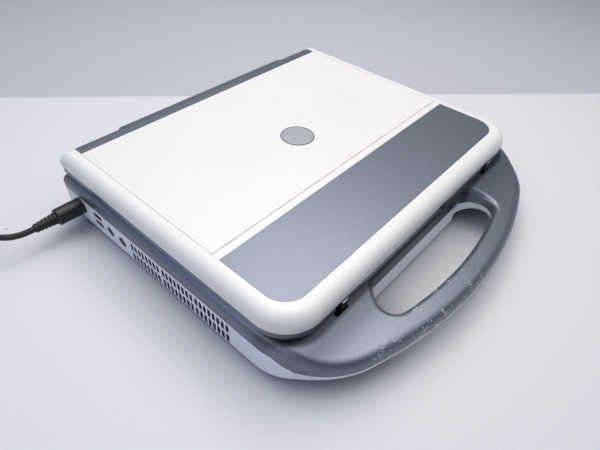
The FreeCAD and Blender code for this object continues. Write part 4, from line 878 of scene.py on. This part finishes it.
def coil_points():
    """Turns of the put-away lead: outer to inner on the floor, inner to outer above, then to the adapter."""
    points = []
    turns = 2 * COIL_COLUMNS + 0.25
    outer = COIL_MID_R + 2 * CORD_R
    for i in range(int(turns * POINTS_PER_TURN) + 1):
        turn = i / POINTS_PER_TURN
        angle = turn * 2 * math.pi
        low = turn < COIL_COLUMNS
        step = min(turn, COIL_COLUMNS - 0.5) if low else max(2 * COIL_COLUMNS - 0.5 - turn, 0)
        radius = outer - 2 * CORD_R * min(step, COIL_COLUMNS - 1)
        lift = min(max(turn - (COIL_COLUMNS - 0.5), 0.0), 1.0)
        z = CORD_R * (1 + 2 * lift)
        points.append((COIL[0] + radius * math.cos(angle), COIL[1] + radius * math.sin(angle), z))
    points.append((COIL[0] - 12 * MM, GLAND_END[1], GLAND_END[2]))
    points.append(GLAND_END)
    return points


def nurbs(name, points, radius):
    """A round cord along a smooth curve that ends at its first and last points."""
    data = bpy.data.curves.new(name, "CURVE")
    data.dimensions = "3D"
    spline = data.splines.new("NURBS")
    spline.points.add(len(points) - 1)
    for point, place in zip(spline.points, points):
        point.co = (*place, 1.0)
    spline.order_u = 3
    spline.use_endpoint_u = True
    data.bevel_depth = radius
    data.bevel_resolution = 6
    data.resolution_u = 8
    data.use_fill_caps = True
    piece = bpy.data.objects.new(name, data)
    bpy.context.scene.collection.objects.link(piece)
    return piece


def make_lead(materials):
    cord = nurbs("lead", ROUTE + coil_points(), CORD_R)
    cord.data.materials.append(materials["black_rubber"])
    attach(cord, "base")
    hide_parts("lead_cord", "lead_coil", "lead_tail")
    return cord


def make_coil_tie(materials):
    """Strap round the coil's two layers, on the side away from the adapter."""
    shape = bmesh.new()
    made = bmesh.ops.create_cube(shape, size=1.0)["verts"]
    bmesh.ops.scale(shape, vec=TIE_SIZE, verts=made)
    bmesh.ops.bevel(shape, geom=list(shape.edges), offset=TIE_ROUNDING, segments=5, profile=0.5,
                    affect="EDGES", material=-1)
    ends = [f for f in shape.faces if abs(f.normal.y) > 0.3]
    bmesh.ops.delete(shape, geom=ends, context="FACES")
    bmesh.ops.solidify(shape, geom=list(shape.faces), thickness=TIE_WALL)
    x = COIL[0] + COIL_MID_R * math.cos(TIE_ANGLE)
    y = COIL[1] + COIL_MID_R * math.sin(TIE_ANGLE)
    turn = Matrix.Rotation(TIE_ANGLE, 4, "Z")
    bmesh.ops.transform(shape, matrix=Matrix.Translation((x, y, TIE_MIDDLE_Z)) @ turn, verts=shape.verts)
    return finish_piece("coil_tie", shape, materials["dark_plastic"], "base")


# ---------------------------------------------------------------- studio
WARM = (1.0, 0.965, 0.93)
SKY_BLUE = (0.22, 0.52, 1.0)
LAMP_DISTANCE = 1.15
LAMPS = (                     # name, azimuth and height in degrees, size, power, colour
    ("overhead", 22, 74, 0.9, 6.5, WARM),
    ("sheen", 35, 57, 0.62, 2.3, WARM),
    ("back", 84, 57, 0.8, 2.8, WARM),
    ("left", 172, 54, 0.8, 3.0, WARM),
    ("low_left", 204, 36, 0.7, 0.8, WARM),
    ("right", 308, 56, 0.8, 2.9, WARM),
    ("sky", 150, 28, 0.4, 0.62, SKY_BLUE),
)
FLOOR_HALF = 1.1
TABLE_TURN = -math.radians(47.17)     # turns the table's back edge square to X
TABLE_EDGE = (0.2296, 0.2336)         # where the table ends, as a soft edge
TABLE_COLOUR = (0.715, 0.70, 0.715)
BEHIND_COLOUR = (0.51, 0.51, 0.56)
# Painted shadow on the table close to the object.
CONTACT_SHADOW_COLOUR = (0.13, 0.15, 0.21)
CONTACT_REACH = 45 * MM
CONTACT_SPREAD = (0.13, 0.68)
RIGHT_AIR = (0.035, 0.06, 0.105)
LEFT_AIR = (0.035, 0.10, 0.22)
BACKDROP = (0.50, 0.505, 0.55)


def make_lamp(name, azimuth, height, size, power, colour):
    """A square soft lamp aimed at the middle of the object."""
    data = bpy.data.lights.new(name, "AREA")
    data.shape = "SQUARE"
    data.size = size
    data.energy = power
    data.color = colour
    light = bpy.data.objects.new(name, data)
    azimuth = math.radians(azimuth)
    height = math.radians(height)
    flat = LAMP_DISTANCE * math.cos(height)
    place = Vector((flat * math.cos(azimuth), flat * math.sin(azimuth), LAMP_DISTANCE * math.sin(height)))
    light.location = place
    light.rotation_euler = (-place).to_track_quat("-Z", "Y").to_euler()
    bpy.context.scene.collection.objects.link(light)


def make_floor():
    """A pale table, with shadow painted where the object stands close to it, and a greyer band behind it."""
    shape = bmesh.new()
    bmesh.ops.create_grid(shape, x_segments=1, y_segments=1, size=FLOOR_HALF)
    mesh = bpy.data.meshes.new("floor")
    shape.to_mesh(mesh)
    shape.free()
    floor = bpy.data.objects.new("floor", mesh)
    bpy.context.scene.collection.objects.link(floor)
    material, tree, shader = new_material("floor")
    along = axes(tree, placed(tree, object_coords(tree), Rotation=(0, 0, TABLE_TURN)))["X"]
    behind = spread(tree, along, 0.0, 1.0, *TABLE_EDGE)
    table = mix_colour(tree, behind, TABLE_COLOUR, BEHIND_COLOUR)
    # Painted shadow: the table's colour darkens with ambient occlusion near the object.
    near = add(tree, "ShaderNodeAmbientOcclusion", Distance=CONTACT_REACH, samples=32).outputs["AO"]
    unshadowed = spread(tree, near, 0.0, 1.0, *CONTACT_SPREAD)
    tree.links.new(mix_colour(tree, unshadowed, CONTACT_SHADOW_COLOUR, table), shader.inputs["Base Color"])
    shader.inputs["Roughness"].default_value = 0.6
    floor.data.materials.append(material)


def make_world():
    """Faint bluish surroundings, brighter on the left, and a pale backdrop that gloss shows as well."""
    world = bpy.data.worlds.new("world")
    world.use_nodes = True
    tree = world.node_tree
    direction = axes(tree, add(tree, "ShaderNodeTexCoord").outputs["Generated"])
    left = spread(tree, direction["X"], 0.0, 1.0, 0.7, -0.7)
    around = mix_colour(tree, left, RIGHT_AIR, LEFT_AIR)
    rays = add(tree, "ShaderNodeLightPath").outputs
    mirrored = maths(tree, "MAXIMUM", rays["Is Glossy Ray"], rays["Is Transmission Ray"])
    seen = maths(tree, "MAXIMUM", rays["Is Camera Ray"], mirrored)
    low = spread(tree, direction["Z"], 1.0, 0.0, 0.20, 0.38)
    shown = mix_colour(tree, product(tree, seen, low), around, BACKDROP)
    tree.links.new(shown, tree.nodes["Background"].inputs["Color"])
    tree.nodes["Background"].inputs["Strength"].default_value = 1.0
    bpy.context.scene.world = world


def make_studio():
    make_floor()
    for values in LAMPS:
        make_lamp(*values)
    make_world()
    bpy.context.scene.view_settings.view_transform = "Standard"


# ---------------------------------------------------------------- assembly
make_camera()
materials = make_materials()
cord = make_lead(materials)
tie = make_coil_tie(materials)
adapter_trim = make_adapter_trim(materials)
make_keys(materials)
make_latch_plates(materials)
make_vent_shade_sheet(materials)
make_badge(materials)
make_screen_gasket(materials)
make_screw_crosses(materials)
make_battery_latches(materials)
make_access_doors(materials)
make_door_screws(materials)
make_rating_plate(materials)
make_power_ring(materials)
make_touchpad_frame(materials)
make_socket_contacts(materials)
make_studio()
